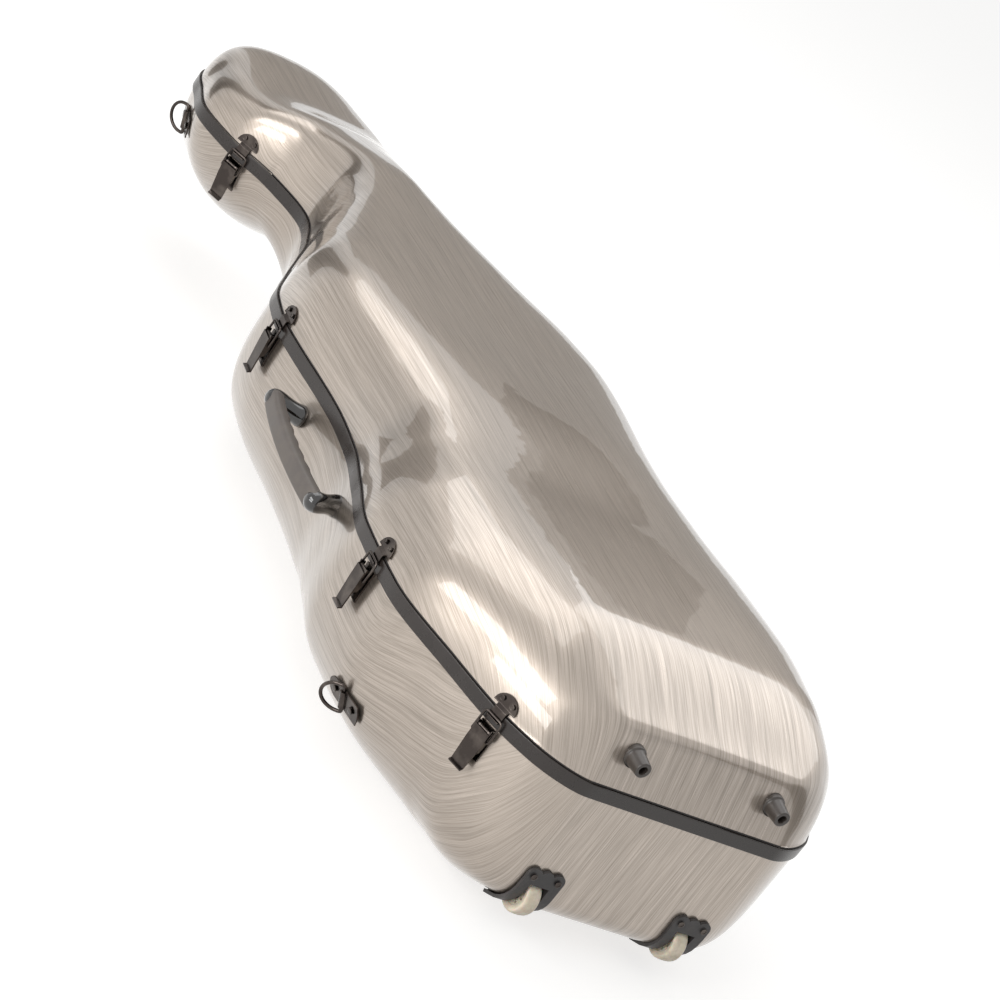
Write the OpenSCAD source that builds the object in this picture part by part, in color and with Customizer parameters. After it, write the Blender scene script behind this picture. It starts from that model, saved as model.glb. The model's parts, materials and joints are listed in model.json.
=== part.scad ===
// Cello hard case: a thermoformed back shell and lid, lined and hinged, with its latches, handle and wheels.
// It lies on its back, lid up. X runs across the case with the latches at -X, +Y points to the head end,
// and the origin is the middle of the flat resting face of the back.

/* [Case outline] */
// Length of the shells from base end to head end
case_len = 1360; // [1330:1:1400]
// Width of the base end at the seam
base_w = 312; // [290:1:330]
// Radius of the base end's corners in plan
base_corner_r = 34; // [24:1:44]
// Width across the lower bouts at the seam
lower_bout_w = 524; // [500:1:540]
// Distance of the widest place of the lower bouts from the base end
lower_bout_at = 250; // [235:1:265]
// Width across the waist
waist_w = 400; // [380:1:420]
// Distance of the waist from the base end
waist_at = 575; // [560:1:590]
// Width across the upper bouts
upper_bout_w = 416; // [400:1:430]
// Distance of the widest place of the upper bouts from the base end
upper_bout_at = 710; // [700:1:722]
// Width at the neck
neck_w = 112; // [104:1:124]
// Distance of the narrowest place of the neck past the widest place of the upper bouts
neck_past = 320; // [305:1:335]
// Width across the head
head_w = 264; // [250:1:280]
// Distance of the widest place of the head from the head end
head_back = 145; // [135:1:155]
// Length of the rounded end of the head
head_round = 112; // [100:1:120]

/* [Depth] */
// Height of the seam above the resting face
back_depth = 190; // [180:1:200]
// Depth of the back half at the base end
back_base_depth = 155; // [145:1:165]
// Depth of the back half at the neck
back_neck_depth = 82; // [76:1:90]
// Depth of the back half at the head
back_head_depth = 112; // [100:1:120]
// Radius of the back's edge at the base end
back_edge_r = 18; // [12:1:24]
// Height of the lid at the base end
lid_base_depth = 62; // [56:1:68]
// Height of the lid over the lower bouts
lid_bout_depth = 105; // [98:1:112]
// Height of the lid over the bridge
lid_bridge_depth = 113; // [106:1:118]
// Height of the lid at the head
lid_head_depth = 70; // [64:1:80]
// Radius of the lid's edge at the base end
lid_edge_r = 10; // [6:1:14]
// Slope of the lid's end face, run per 100 of rise
lid_end_lean = 36; // [25:1:45]

/* [Shells and seam] */
// Wall of the shells
shell_t = 3; // [2.5:0.1:4]
// Padding of the lining
lining_t = 14; // [10:1:18]
// Gap between a pad and the lining that it lies on
soft_gap = 0.6; // [0.4:0.1:0.8]
// Gap between the lining and its shell, for the glue
lining_gap = 1.5; // [1.2:0.1:2]
// Height of the rim band on the back shell
band_h = 15.5; // [13:0.5:20]
// Thickness of the rim band
band_t = 3; // [2:0.1:3.5]
// Flange of the rim band that caps the shell's edge
band_flange = 2.5; // [2:0.1:3]
// Height of the lid gasket
gasket_h = 1.6; // [1.4:0.1:3]
// How far the gasket stands out of the lid
gasket_proud = 1.2; // [0.6:0.1:1.6]
// Gap between the rim band and the lid gasket
seam_gap = 0.3; // [0.3:0.1:0.6]

/* [Latches] */
// Distances of the body's latches from the base end
latch_at = [72, 292, 727];
// Distance of the head's latch from the head end
head_latch_back = 221; // [215:1:227]
// Width of a latch lever at its root
lever_w = 20; // [19:0.5:24]
// Width of a latch lever at its tip
lever_tip_w = 17; // [15:0.5:19]
// Distance of the lever's tip below its pivot
lever_reach = 45; // [41:1:49]
// Distance of the lever's pivot below the seam
pivot_drop = 21; // [20.5:0.5:24]
// Distance of the lever's pivot outside the seam line
pivot_out = 7.5; // [7:0.1:9]
// Distance of the bail's pivot below the lever's pivot
bail_drop = 9; // [8:0.5:11]
// Diameter of the bail's wire
bail_wire = 2.6; // [2.4:0.1:3]
// Width of the keeper plate
keeper_w = 29; // [27:1:33]
// Spacing of the keeper's two screws
keeper_screw_gap = 14; // [13:0.5:16]
// Thickness of latch sheet metal
sheet_t = 1.6; // [1.2:0.1:2]

/* [Handle] */
// Distance of the middle of the handle from the base end
handle_at = 530; // [520:1:540]
// Spacing of the handle's two feet
handle_feet = 170; // [162:1:178]
// Distance of the handle below the seam
handle_drop = 44; // [42:1:50]
// Length of the rubber grip
grip_len = 202; // [194:1:212]
// Thickness of the grip
grip_t = 15; // [14:0.5:17]
// Height of the grip
grip_h = 22; // [20:0.5:25]
// Height of the grip's middle above the shell
grip_out = 40; // [38:1:45]
// Number of finger ridges under the grip
grip_ridges = 5; // [3:1:7]

/* [Strap rings] */
// Distance of the lower strap brackets from the base end
low_ring_at = 230; // [220:1:240]
// Distance of the lower strap brackets below the seam
low_ring_drop = 130; // [120:1:136]
// Distance of the head strap brackets from the head end
head_ring_back = 98; // [90:1:105]
// Distance of the head strap brackets below the seam
head_ring_drop = 42; // [41:1:46]
// Length of a strap bracket
bracket_len = 58; // [52:1:64]
// Width of a strap bracket
bracket_w = 24; // [20:1:26]
// Spacing of a bracket's two rivets
bracket_rivet_gap = 34; // [32:1:36]
// Wire of a strap ring
ring_wire = 4; // [3.5:0.1:4.5]
// Width of a strap ring over its wire
ring_w = 40; // [36:1:42]
// How far a strap ring reaches from its bar
ring_reach = 26; // [22:1:30]

/* [Wheels and feet] */
// Distance of each wheel from the centre line
wheel_x = 98; // [90:1:104]
// Distance of the axle below the seam
axle_drop = 146; // [142:1:150]
// Distance of the axle inside the base end
axle_in = 11; // [10:0.5:13]
// Diameter of a wheel
wheel_d = 42; // [40:1:46]
// Width of a wheel
wheel_w = 18; // [16:0.5:20]
// Diameter of the axle
axle_d = 6; // [5:0.5:8]
// Distance of each foot from the centre line
foot_x = 93.5; // [86:0.5:100]
// Height of the feet above the seam
foot_up = 36; // [32:1:40]
// How far a foot stands out of the base end
foot_len = 23; // [21:1:27]
// Diameter of a foot at the case
foot_d = 21; // [20:1:24]
// Diameter of a foot at its tip
foot_tip_d = 17; // [16:1:19]
// Bore of a foot
foot_bore = 9; // [8:1:10]

/* [Hinges] */
// Distance of the hinge line outside the bouts
hinge_out = 9; // [8.5:0.1:11]
// Length of a hinge
hinge_len = 60; // [50:1:66]
// Diameter of a hinge knuckle
knuckle_d = 9; // [8:0.5:10]
// Diameter of a hinge pin
hinge_pin_d = 4; // [3:0.5:5]

/* [Inside] */
// Distance of the neck cradle from the base end
cradle_at = 960; // [940:1:975]
// Length of the neck cradle
cradle_len = 60; // [50:1:70]
// Width of the slot for the cello's neck
cradle_slot = 50; // [44:1:54]
// Distances of the bow holders from the base end
bow_at = [300, 830];
// Distance of each bow from the centre line
bow_x = 62; // [56:1:70]
// Width of the groove for a bow
bow_groove = 14; // [12:1:18]

/* [Hidden] */

$fn = 48;
metal = "#55504c";
black = "#2e2b2a";
silver = "#b3a99f";

// The origin lies this far from the base end, in the middle of the flat back
rest_at = 430;
// Places past the upper bouts keep their share of the length from there to the head end
neck_stretch = (case_len - upper_bout_at) / 650;
function past(d) = upper_bout_at + d * neck_stretch;
neck_at = past(neck_past);
head_at = case_len - head_back;
latch_places = concat(latch_at, [case_len - head_latch_back]);
seam_z = back_depth;
lid_z = seam_z + seam_gap;

// Smooth curve through a table of [distance, value] rows, without overshoot
function row_of(t, s, i = 0) = i >= len(t) - 2 || s < t[i + 1][0] ? i : row_of(t, s, i + 1);
function rise(t, i) = (t[i + 1][1] - t[i][1]) / (t[i + 1][0] - t[i][0]);
function slope(t, i) =
    i == 0 ? rise(t, 0) :
    i == len(t) - 1 ? rise(t, i - 1) :
    rise(t, i - 1) * rise(t, i) <= 0 ? 0 :
    let (a = t[i + 1][0] - t[i][0], b = t[i][0] - t[i - 1][0])
    3 * (a + b) / ((2 * a + b) / rise(t, i - 1) + (a + 2 * b) / rise(t, i));
function curve(t, s) =
    let (i = row_of(t, s), h = t[i + 1][0] - t[i][0], u = max(0, min(1, (s - t[i][0]) / h)))
    (2 * pow(u, 3) - 3 * u * u + 1) * t[i][1] + (pow(u, 3) - 2 * u * u + u) * h * slope(t, i)
    + (3 * u * u - 2 * pow(u, 3)) * t[i + 1][1] + (pow(u, 3) - u * u) * h * slope(t, i + 1);

// A row part of the way from row a to row b: f along the case, g across
function between(a, b, f, g) = [a[0] + (b[0] - a[0]) * f, a[1] + (b[1] - a[1]) * g];

// Half width at the seam
at_base = [0, base_w / 2];
at_lower = [lower_bout_at, lower_bout_w / 2];
at_waist = [waist_at, waist_w / 2];
at_upper = [upper_bout_at, upper_bout_w / 2];
at_neck = [neck_at, neck_w / 2];
at_head = [head_at, head_w / 2];
at_end = [case_len, head_w * 0.43];
half_widths = [
    at_base, between(at_base, at_lower, 0.28, 0.48), between(at_base, at_lower, 0.56, 0.72), at_lower,
    between(at_lower, at_waist, 0.28, 0.08), between(at_lower, at_waist, 0.55, 0.52),
    between(at_lower, at_waist, 0.77, 0.87), at_waist, at_upper,
    between(at_upper, at_neck, 0.22, 0.08), between(at_upper, at_neck, 0.41, 0.31),
    between(at_upper, at_neck, 0.59, 0.57), between(at_upper, at_neck, 0.78, 0.83), at_neck,
    between(at_neck, at_head, 0.38, 0.27), between(at_neck, at_head, 0.70, 0.80), at_head,
    between(at_head, at_end, 0.45, 0.85), at_end
];

// Depth of the back half below the seam, and height of the lid above it
back_depths = [
    [0, back_base_depth], [130, back_depth + 8], [690, back_depth + 8], [past(90), back_depth - 12],
    [past(190), back_neck_depth + 60], [past(290), back_neck_depth + 24], [past(390), back_neck_depth],
    [head_at, back_head_depth], [case_len, back_head_depth - 10]
];
lid_depths = [
    [0, lid_base_depth], [150, lid_bout_depth], [350, lid_bout_depth], [530, lid_bridge_depth],
    [700, lid_bridge_depth - 4], [past(290), lid_bridge_depth - 5], [past(410), lid_head_depth + 19],
    [head_at, lid_head_depth - 3], [case_len, lid_head_depth]
];
// How square the sections are, as the exponent of a superellipse
back_square = [
    [0, 7], [120, 3.2], [350, 3.5], [520, 3.3], [700, 2.6],
    [past(140), 3.4], [past(290), 2.3], [past(470), 2], [case_len, 2.6]
];
lid_square = [
    [0, 3.3], [120, 2.35], [350, 2.2], [500, 2.5], [700, 3.8],
    [past(140), 3.1], [past(290), 3.1], [past(470), 2.5], [case_len, 2.4]
];
// How far the side walls would rise past the flat, and the width of the blend between them
lid_rise = [[0, 1.28], [120, 1.22], [350, 1.15], [500, 1.1], [700, 1.08], [past(290), 1.05], [case_len, 1.02]];
lid_blend = [[0, 8], [120, 12], [350, 20], [500, 32], [700, 38], [case_len, 38]];
lid_crown = 0.05;
back_blend = 4;

function corner_cut(r, s) = s >= r ? 0 : r - sqrt(r * r - (r - s) * (r - s));
function head_fall(s, p) = let (u = max(0, (s - case_len + head_round) / head_round)) pow(max(0, 1 - pow(u, p)), 1 / p);
function half_width(s, off = 0) =
    (curve(half_widths, s) - off) * head_fall(s, 2.4) - corner_cut(base_corner_r - min(off, 10), s);

// Height of the flat and of the wall's own curve at station s
function depth_at(lid, s, off) =
    (curve(lid ? lid_depths : back_depths, s) - off) * head_fall(s, 4)
    - corner_cut(lid ? lid_edge_r : back_edge_r, s);
function smooth_min(a, b, k) = let (h = max(0, min(1, 0.5 + 0.5 * (b - a) / k))) b * (1 - h) + a * h - k * h * (1 - h);
function square_at(lid, s) = curve(lid ? lid_square : back_square, s);

// One section point: c and v are the cosine and sine of the angle round the section
function section_z(lid, s, off, c, v) =
    let (h = depth_at(lid, s, off), rise_f = lid ? curve(lid_rise, s) : 1,
         flat_z = lid ? h * (1 - lid_crown * c * c) : back_depth - off,
         k = min(lid ? curve(lid_blend, s) : back_blend, h / 2))
    smooth_min(h * rise_f * v, flat_z, k);
function power(x, n) = pow(max(0, x), 2 / n);
function lean_at(lid, s, z) = (lid ? lid_end_lean : 0) * z / 100 * pow(max(0, 1 - s / 150), 2);

// A point of a shell surface. a runs from -90 at the left seam through 0 on top to 90 at the right seam.
function skin_point(lid, s, a, off, lift) =
    let (n = square_at(lid, s), c = power(abs(sin(a)), n), v = power(cos(a), n),
         z = max(lift + v / 2, section_z(lid, s, off, c, v)))
    [sign(a) * half_width(s, off) * c,
     off + s * (case_len - 2 * off) / case_len - rest_at + lean_at(lid, s, z),
     lid ? lid_z + z - seam_gap : seam_z - z];

// Stations along the case: close at the corners, at the neck and at the end of the head
stations = concat(
    [0, 0.6, 2.4, 5.5, 10, 16, 24, 34, 46, 62],
    [for (s = [84 : 26 : 422]) s], [for (s = [446 : 24 : 782]) if (s < past(90) - 8) s],
    [for (d = [90 : 18 : 234]) past(d)],
    [for (d = [248 : 13 : 391]) past(d)],
    [for (d = [408 : 18 : 516]) if (past(d) < case_len - head_round - 8) past(d)],
    [for (k = [0 : 8]) case_len - head_round * max(0.0005, pow(1 - k / 8, 2))]
);

// Triangles over a grid of rows by cols points
function grid_faces(rows, cols, first, flip) = [
    for (i = [0 : rows - 2]) for (j = [0 : cols - 2]) for (k = [0, 1])
    let (a = first + i * cols + j, b = a + 1, c = a + cols, d = c + 1, f = k == 0 ? [a, c, b] : [b, c, d])
    flip ? [f[2], f[1], f[0]] : f
];

// Open shell between the surfaces at off_out and off_in
module shell(lid, off_out, off_in, lift, steps) {
    rows = len(stations);
    cols = 2 * steps + 1;
    inner = rows * cols;
    points = [
        for (off = [off_out, off_in]) for (s = stations) for (j = [-steps : steps])
        skin_point(lid, s, j * 90 / steps, off, lift)
    ];
    last = (rows - 1) * cols;
    ends = [
        [for (j = [0 : cols - 1]) j], [for (j = [cols - 1 : -1 : 0]) last + j],
        [for (j = [cols - 1 : -1 : 0]) inner + j], [for (j = [0 : cols - 1]) inner + last + j],
        [0, cols - 1, inner + cols - 1, inner], [last + cols - 1, last, inner + last, inner + last + cols - 1]
    ];
    rims = [
        for (i = [0 : rows - 2])
        let (a = i * cols, b = a + cols, c = a + cols - 1, d = b + cols - 1)
        each [[a, inner + a, inner + b, b], [c, d, inner + d, inner + c]]
    ];
    faces = concat(grid_faces(rows, cols, 0, false), grid_faces(rows, cols, inner, true), ends, rims);
    polyhedron(points, lid ? faces : [for (f = faces) [for (k = [len(f) - 1 : -1 : 0]) f[k]]]);
}

// Solid that fills a half up to the seam between two stations, at an offset inside its skin
module cavity(lid, off, steps, from, to) {
    part = [for (s = stations) if (s > from - 28 && s < to + 28) s];
    rows = len(part);
    cols = 2 * steps + 1;
    points = [for (s = part) for (j = [-steps : steps]) skin_point(lid, s, j * 90 / steps, off, 0)];
    last = (rows - 1) * cols;
    ends = [[for (j = [0 : cols - 1]) j], [for (j = [cols - 1 : -1 : 0]) last + j]];
    flat = [[for (i = [rows - 1 : -1 : 0]) i * cols, for (i = [0 : rows - 1]) i * cols + cols - 1]];
    faces = concat(grid_faces(rows, cols, 0, false), ends, flat);
    polyhedron(points, lid ? faces : [for (f = faces) [for (k = [len(f) - 1 : -1 : 0]) f[k]]]);
}

// Wall of a half at station s, z away from the seam: how far it has drawn in from the seam line
function draw_in(lid, s, z) =
    let (n = square_at(lid, s), h = depth_at(lid, s, 0) * (lid ? curve(lid_rise, s) : 1))
    half_width(s) * (1 - pow(max(0, 1 - pow(min(1, z / h), n)), 1 / n));
function turn(s) = (half_width(min(case_len - 1, s + 2)) - half_width(max(0, s - 2))) / 4;
function yaw(side, s) = atan2(-turn(s), side);
function across(t) = 1 / sqrt(1 + t * t);
function tilt(lid, s, z) =
    atan2((draw_in(lid, s, z + 6) - draw_in(lid, s, max(0, z - 6))) * across(turn(s)), z < 6 ? z + 6 : 12);
// How far the wall stands out beside a flat piece 2 * w long that touches it at station s
function hollow(s, w) =
    let (t = turn(s), d = w * across(t), a = half_width(s + d) - t * d, b = half_width(s - d) + t * d)
    max(0, a - half_width(s), b - half_width(s)) * across(t);

// Frame at the seam line: X out of the case, Y along the wall, Z up
module at_seam(side, s, z = seam_z) {
    translate([side * half_width(s), s - rest_at, z]) rotate([0, 0, yaw(side, s)]) children();
}

// Frame on the wall, drop below the seam: X out of the wall, Y along it
function wall_half(s, drop) = half_width(s) - draw_in(false, s, drop);
function wall_turn(s, drop) = (wall_half(s + 8, drop) - wall_half(s - 8, drop)) / 16;
module on_wall(side, s, drop) {
    t = wall_turn(s, drop);
    translate([side * wall_half(s, drop), s - rest_at, seam_z - drop]) rotate([0, 0, atan2(-t, side)])
        rotate([0, atan2((wall_half(s, drop - 6) - wall_half(s, drop + 6)) * across(t), 12), 0]) children();
}

// Seam outline moved out by off
function outward(s, off) =
    let (t = turn(s), l = sqrt(1 + t * t), end = s < 1 ? 1 : 0)
    end == 1 ? [half_width(s) + off * 0.3, s - rest_at - off] :
    [half_width(s) + off / l, s - rest_at - off * t / l];
function seam_outline(off) = concat(
    [for (s = stations) outward(s, off)],
    [[0, case_len - rest_at + off]],
    [for (i = [len(stations) - 1 : -1 : 0]) let (p = outward(stations[i], off)) [-p[0], p[1]]]
);
module seam_ring(off_out, off_in, h) {
    linear_extrude(h) difference() {
        polygon(seam_outline(off_out));
        polygon(seam_outline(off_in));
    }
}

module wheel_well(x, grow) {
    translate([x - wheel_w / 2 - 5 - grow, -rest_at - 20, -20])
        cube([wheel_w + 10 + 2 * grow, 20 + axle_in + wheel_d / 2 + 5 + grow, seam_z - axle_drop + wheel_d / 2 + 24 + grow]);
}

module back_shell() {
    color(silver) difference() {
        shell(false, 0, shell_t, band_flange, 9);
        for (x = [-wheel_x, wheel_x]) wheel_well(x, 0);
        latch_rivet_shanks();
        handle_bolt_shanks();
        bracket_rivet_shanks();
        housing_screw_shanks();
        hinge_rivet_shanks(false);
    }
}

module back_rim_band() {
    color(black) {
        translate([0, 0, seam_z - band_h]) seam_ring(band_t, 0.05, band_h - band_flange);
        translate([0, 0, seam_z - band_flange]) seam_ring(band_t, -shell_t, band_flange);
    }
}

lining_out = shell_t + lining_gap;
lining_in = lining_out + lining_t;
pad_off = lining_in + soft_gap;

module back_lining() {
    color("#3a3a42") difference() {
        shell(false, lining_out, lining_in, 5, 4);
        for (x = [-wheel_x, wheel_x]) wheel_well(x, 3);
        handle_bolt_rooms();
    }
}

// A strip of sheet that follows a side profile, w wide along Y
module strip(points, w) {
    rotate([90, 0, 0]) linear_extrude(w, center = true) polygon(points);
}
// A dome or pan head on a short shank, along X
module fixing_head(r, h) {
    rotate([0, 90, 0]) {
        cylinder(h * 0.5, r, r);
        translate([0, 0, h * 0.5]) cylinder(h * 0.5, r, r * 0.6);
    }
}
shank_r = 1.8;
shank_in = shell_t - 0.4;
module shank(out, r = shank_r) {
    translate([-shank_in, 0, 0]) rotate([0, 90, 0]) cylinder(shank_in + out, r, r, $fn = 12);
}

// Latches
function wall_x(i, drop) = hollow(latch_places[i], base_w2 / 2) - draw_in(false, latch_places[i], drop) * across(turn(latch_places[i]));
function lid_x(i, up) = hollow(latch_places[i], keeper_w / 2) - draw_in(true, latch_places[i], up) * across(turn(latch_places[i]));
hook_in = band_t + 0.4;
bail_x = hook_in + sheet_t + 0.3 + bail_wire / 2;
bail_up = -5.5;
hook_low = bail_up - bail_wire / 2 - 0.5 - sheet_t;
hook_out = bail_x + bail_wire / 2 + 0.4;
tip_gap = 6;
function tip_x(i) = max(wall_x(i, pivot_drop + lever_reach) + tip_gap, pivot_out - 0.4 * lever_reach);
function lever_len(i) = norm([tip_x(i) - pivot_out, lever_reach]);
function lever_turn(i) = atan2(pivot_out - tip_x(i), lever_reach);
function bail_foot(i) = [
    pivot_out - bail_drop * sin(lever_turn(i)), -pivot_drop - bail_drop * cos(lever_turn(i))
];
function bail_turn(i) = atan2(bail_x - bail_foot(i)[0], bail_up - bail_foot(i)[1]);
function bail_len(i) = norm([bail_x - bail_foot(i)[0], bail_up - bail_foot(i)[1]]);
pin_r = 1.8;
run_gap = 0.08;
base_top = band_h + 1.5;
base_low = 54;
base_w2 = lever_w + 2;
seat_gap = 0.3;
flange_y = lever_w / 2 - 1.5;
ear_y = flange_y - 2.2;
rivet_drops = [38, 48];

module base_strip(i) {
    drops = [base_top, 32, 42, base_low];
    strip(concat(
        [for (d = drops) [wall_x(i, d) + seat_gap, -d]],
        [for (k = [3 : -1 : 0]) [wall_x(i, drops[k]) + seat_gap + sheet_t, -drops[k]]]
    ), base_w2);
}
module latch_base(i) {
    difference() {
        union() {
            base_strip(i);
            for (y = [-ear_y, ear_y]) translate([0, y, 0]) strip([
                [wall_x(i, pivot_drop + 3) + 1, -pivot_drop - 2], [pivot_out, -pivot_drop + 2.2], [pivot_out + 1.5, -pivot_drop + 1.6],
                [pivot_out + 2.2, -pivot_drop], [pivot_out + 1.5, -pivot_drop - 1.6], [pivot_out, -pivot_drop - 2.4],
                [wall_x(i, pivot_drop + 13) + 1, -pivot_drop - 13]
            ], sheet_t);
        }
        translate([pivot_out, 0, -pivot_drop]) rotate([90, 0, 0]) cylinder(lever_w, pin_r, pin_r, center = true);
        for (d = rivet_drops) on_latch_wall(i, d) shank(sheet_t + 2);
    }
}
module on_latch_wall(i, d) {
    translate([wall_x(i, d), 0, -d]) rotate([0, tilt(false, latch_places[i], d), 0]) children();
}
module latch_bases() {
    color(metal) for (i = [0 : 3]) at_seam(-1, latch_places[i]) latch_base(i);
}
module latch_rivet_shanks() {
    for (i = [0 : 3]) at_seam(-1, latch_places[i]) for (d = rivet_drops) on_latch_wall(i, d) shank(sheet_t + seat_gap);
}
module latch_base_rivets() {
    color(metal) {
        latch_rivet_shanks();
        for (i = [0 : 3]) at_seam(-1, latch_places[i]) for (d = rivet_drops)
            on_latch_wall(i, d) translate([sheet_t + seat_gap + 0.1, 0, 0]) fixing_head(3, 1.2);
    }
}
module latch_pivot_pins() {
    color(metal) for (i = [0 : 3]) at_seam(-1, latch_places[i])
        translate([pivot_out, 0, -pivot_drop]) rotate([90, 0, 0]) cylinder(lever_w, pin_r, pin_r, center = true);
}

// The lever, in a frame at its pivot with its tip straight down
module lever_frame(i) {
    at_seam(-1, latch_places[i]) translate([pivot_out, 0, -pivot_drop]) rotate([0, lever_turn(i), 0]) children();
}
module lever(i) {
    l = lever_len(i);
    w = lever_w / 2;
    t = lever_tip_w / 2;
    difference() {
        union() {
            translate([2.4, 0, 0]) rotate([90, 0, 90]) linear_extrude(sheet_t)
                polygon([[-w, 0], [w, 0], [w, -16], [t, -l], [-t, -l], [-w, -16]]);
            for (y = [-w + 0.75, w - 0.75]) translate([0, y, 0])
                strip([[3, 4.5], [-3.2, 3.5], [-3.2, -13], [-1, -22], [3, -24]], 1.5);
            translate([2.4, -t, -l]) rotate([0, 20, 0]) cube([5, lever_tip_w, sheet_t]);
        }
        rotate([90, 0, 0]) cylinder(lever_w + 1, pin_r + run_gap, pin_r + run_gap, center = true);
        translate([0, 0, -bail_drop]) rotate([90, 0, 0])
            cylinder(lever_w + 1, bail_wire / 2 + run_gap, bail_wire / 2 + run_gap, center = true);
    }
}
module latch_lever(i) { color(metal) lever_frame(i) lever(i); }

// The bail, in a frame at its foot with its bar straight up
bail_y = lever_w / 2 + 0.4 + bail_wire / 2;
module bail_frame(i) {
    at_seam(-1, latch_places[i]) translate([bail_foot(i)[0], 0, bail_foot(i)[1]]) rotate([0, bail_turn(i), 0]) children();
}
module latch_bail(i) {
    r = bail_wire / 2;
    l = bail_len(i);
    color(metal) bail_frame(i) {
        for (m = [0, 1]) mirror([0, m, 0]) {
            translate([0, bail_y, 0]) cylinder(l, r, r);
            translate([0, bail_y, 0]) sphere(r);
            translate([0, bail_y, l]) sphere(r);
            translate([0, flange_y - 0.4, 0]) rotate([-90, 0, 0]) cylinder(bail_y - flange_y + 0.4, r, r);
        }
        translate([0, 0, l]) rotate([90, 0, 0]) cylinder(2 * bail_y, r, r, center = true);
    }
}

// Keepers on the lid: a half-moon plate with two screws, and a neck over the rim band to a hook for the bail
keeper_low = 6;
keeper_high = 20;
keeper_screw_up = 12.5;
neck_w2 = 15.5;
keeper_ups = [keeper_high, (keeper_high + keeper_low) / 2, keeper_low];
function keeper_profile(i) = concat(
    [for (u = keeper_ups) [lid_x(i, u) + seat_gap, u]],
    [
        [hook_in, 3], [hook_in, hook_low], [hook_out, hook_low],
        [hook_out, hook_low + sheet_t], [hook_in + sheet_t, hook_low + sheet_t], [hook_in + sheet_t, 3.4]
    ],
    [for (k = [2 : -1 : 0]) [lid_x(i, keeper_ups[k]) + seat_gap + sheet_t, keeper_ups[k] + (k == 2 ? 0.8 : 0)]]
);
module on_keeper(i) {
    up = keeper_screw_up;
    translate([lid_x(i, up), 0, up]) rotate([0, -tilt(true, latch_places[i], up), 0]) children();
}
module keeper(i) {
    difference() {
        union() {
            intersection() {
                strip(keeper_profile(i), neck_w2);
                translate([0, 0, keeper_low + 2 - 20]) cube([60, 60, 40], center = true);
            }
            intersection() {
                strip(keeper_profile(i), keeper_w);
                translate([-20, 0, keeper_low]) rotate([90, 0, 90]) linear_extrude(40) intersection() {
                    resize([keeper_w, 2 * (keeper_high - keeper_low)]) circle(keeper_w / 2);
                    translate([-keeper_w / 2, 0]) square([keeper_w, keeper_high - keeper_low]);
                }
            }
        }
        for (y = [-keeper_screw_gap / 2, keeper_screw_gap / 2]) on_keeper(i) translate([0, y, 0]) shank(sheet_t + 3);
    }
}
module latch_keepers() {
    color(metal) for (i = [0 : 3]) at_seam(-1, latch_places[i]) keeper(i);
}
module keeper_screw_shanks() {
    for (i = [0 : 3]) at_seam(-1, latch_places[i]) on_keeper(i)
        for (y = [-keeper_screw_gap / 2, keeper_screw_gap / 2]) translate([0, y, 0]) shank(sheet_t + seat_gap);
}
module keeper_screws() {
    color(metal) {
        keeper_screw_shanks();
        for (i = [0 : 3]) at_seam(-1, latch_places[i]) on_keeper(i)
            for (y = [-keeper_screw_gap / 2, keeper_screw_gap / 2])
                translate([sheet_t + seat_gap + 0.3, y, 0]) fixing_head(2.8, 1.6);
    }
}

// Handle: the frame lies on the line between its two feet
function side_point(s, drop) = [-half_width(s) + draw_in(false, s, drop), s - rest_at];
foot_head = side_point(handle_at + handle_feet / 2, handle_drop);
foot_base = side_point(handle_at - handle_feet / 2, handle_drop);
handle_mid = (foot_head + foot_base) / 2;
handle_line = foot_base - foot_head;
handle_span = norm(handle_line);
handle_yaw = atan2(handle_line[1], handle_line[0]) - 90;
elbow_r = 12;
elbow_splay = 12;
grip_arch = 9;
grip_r = (pow(grip_len / 2, 2) + grip_arch * grip_arch) / (2 * grip_arch);
core_t = 3;
core_w = 13;
core_x = grip_out - 6.2;
end_out = grip_out - grip_arch;
module handle_frame() {
    translate([handle_mid[0], handle_mid[1], seam_z - handle_drop]) rotate([0, 0, handle_yaw]) children();
}
module each_foot() {
    for (m = [0, 1]) mirror([0, m, 0]) translate([0, handle_span / 2, 0]) children();
}
module handle_core_solid() {
    translate([core_x, -grip_len / 2 - 1, -core_w / 2]) cube([core_t, grip_len + 2, core_w]);
}
module handle_core() { color(metal) handle_frame() handle_core_solid(); }
module handle_grip() {
    half = grip_t / 2;
    corner = 5;
    color("#3c3a39") handle_frame() difference() {
        union() {
            translate([grip_out - grip_r, 0, 0]) rotate([0, 0, -asin(grip_len / 2 / grip_r)])
                rotate_extrude(angle = 2 * asin(grip_len / 2 / grip_r), $fn = 96) translate([grip_r, 0]) polygon([
                    for (q = [0 : 3]) for (k = [0 : 4]) let (a = q * 90 + k * 22.5)
                    [(q == 0 || q == 3 ? 1 : -1) * (half - corner) + corner * cos(a),
                     (q < 2 ? 1 : -1) * (grip_h / 2 - corner) + corner * sin(a)]
                ]);
            for (k = [0 : grip_ridges - 1])
                let (y = (k - (grip_ridges - 1) / 2) * 24, x = grip_out - grip_r + sqrt(grip_r * grip_r - y * y) - half)
                translate([x + 2, y, 0]) cylinder(grip_h - 2 * corner - 1, 4.5, 4.5, center = true);
        }
        handle_core_solid();
    }
}
module handle_elbows() {
    color(black) difference() {
        handle_frame() elbow_pair();
        for (k = [-1, 1]) on_wall(-1, handle_at + k * handle_feet / 2, handle_drop)
            translate([-20 + seat_gap, 0, 0]) cube([40, 60, 60], center = true);
    }
}
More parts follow.
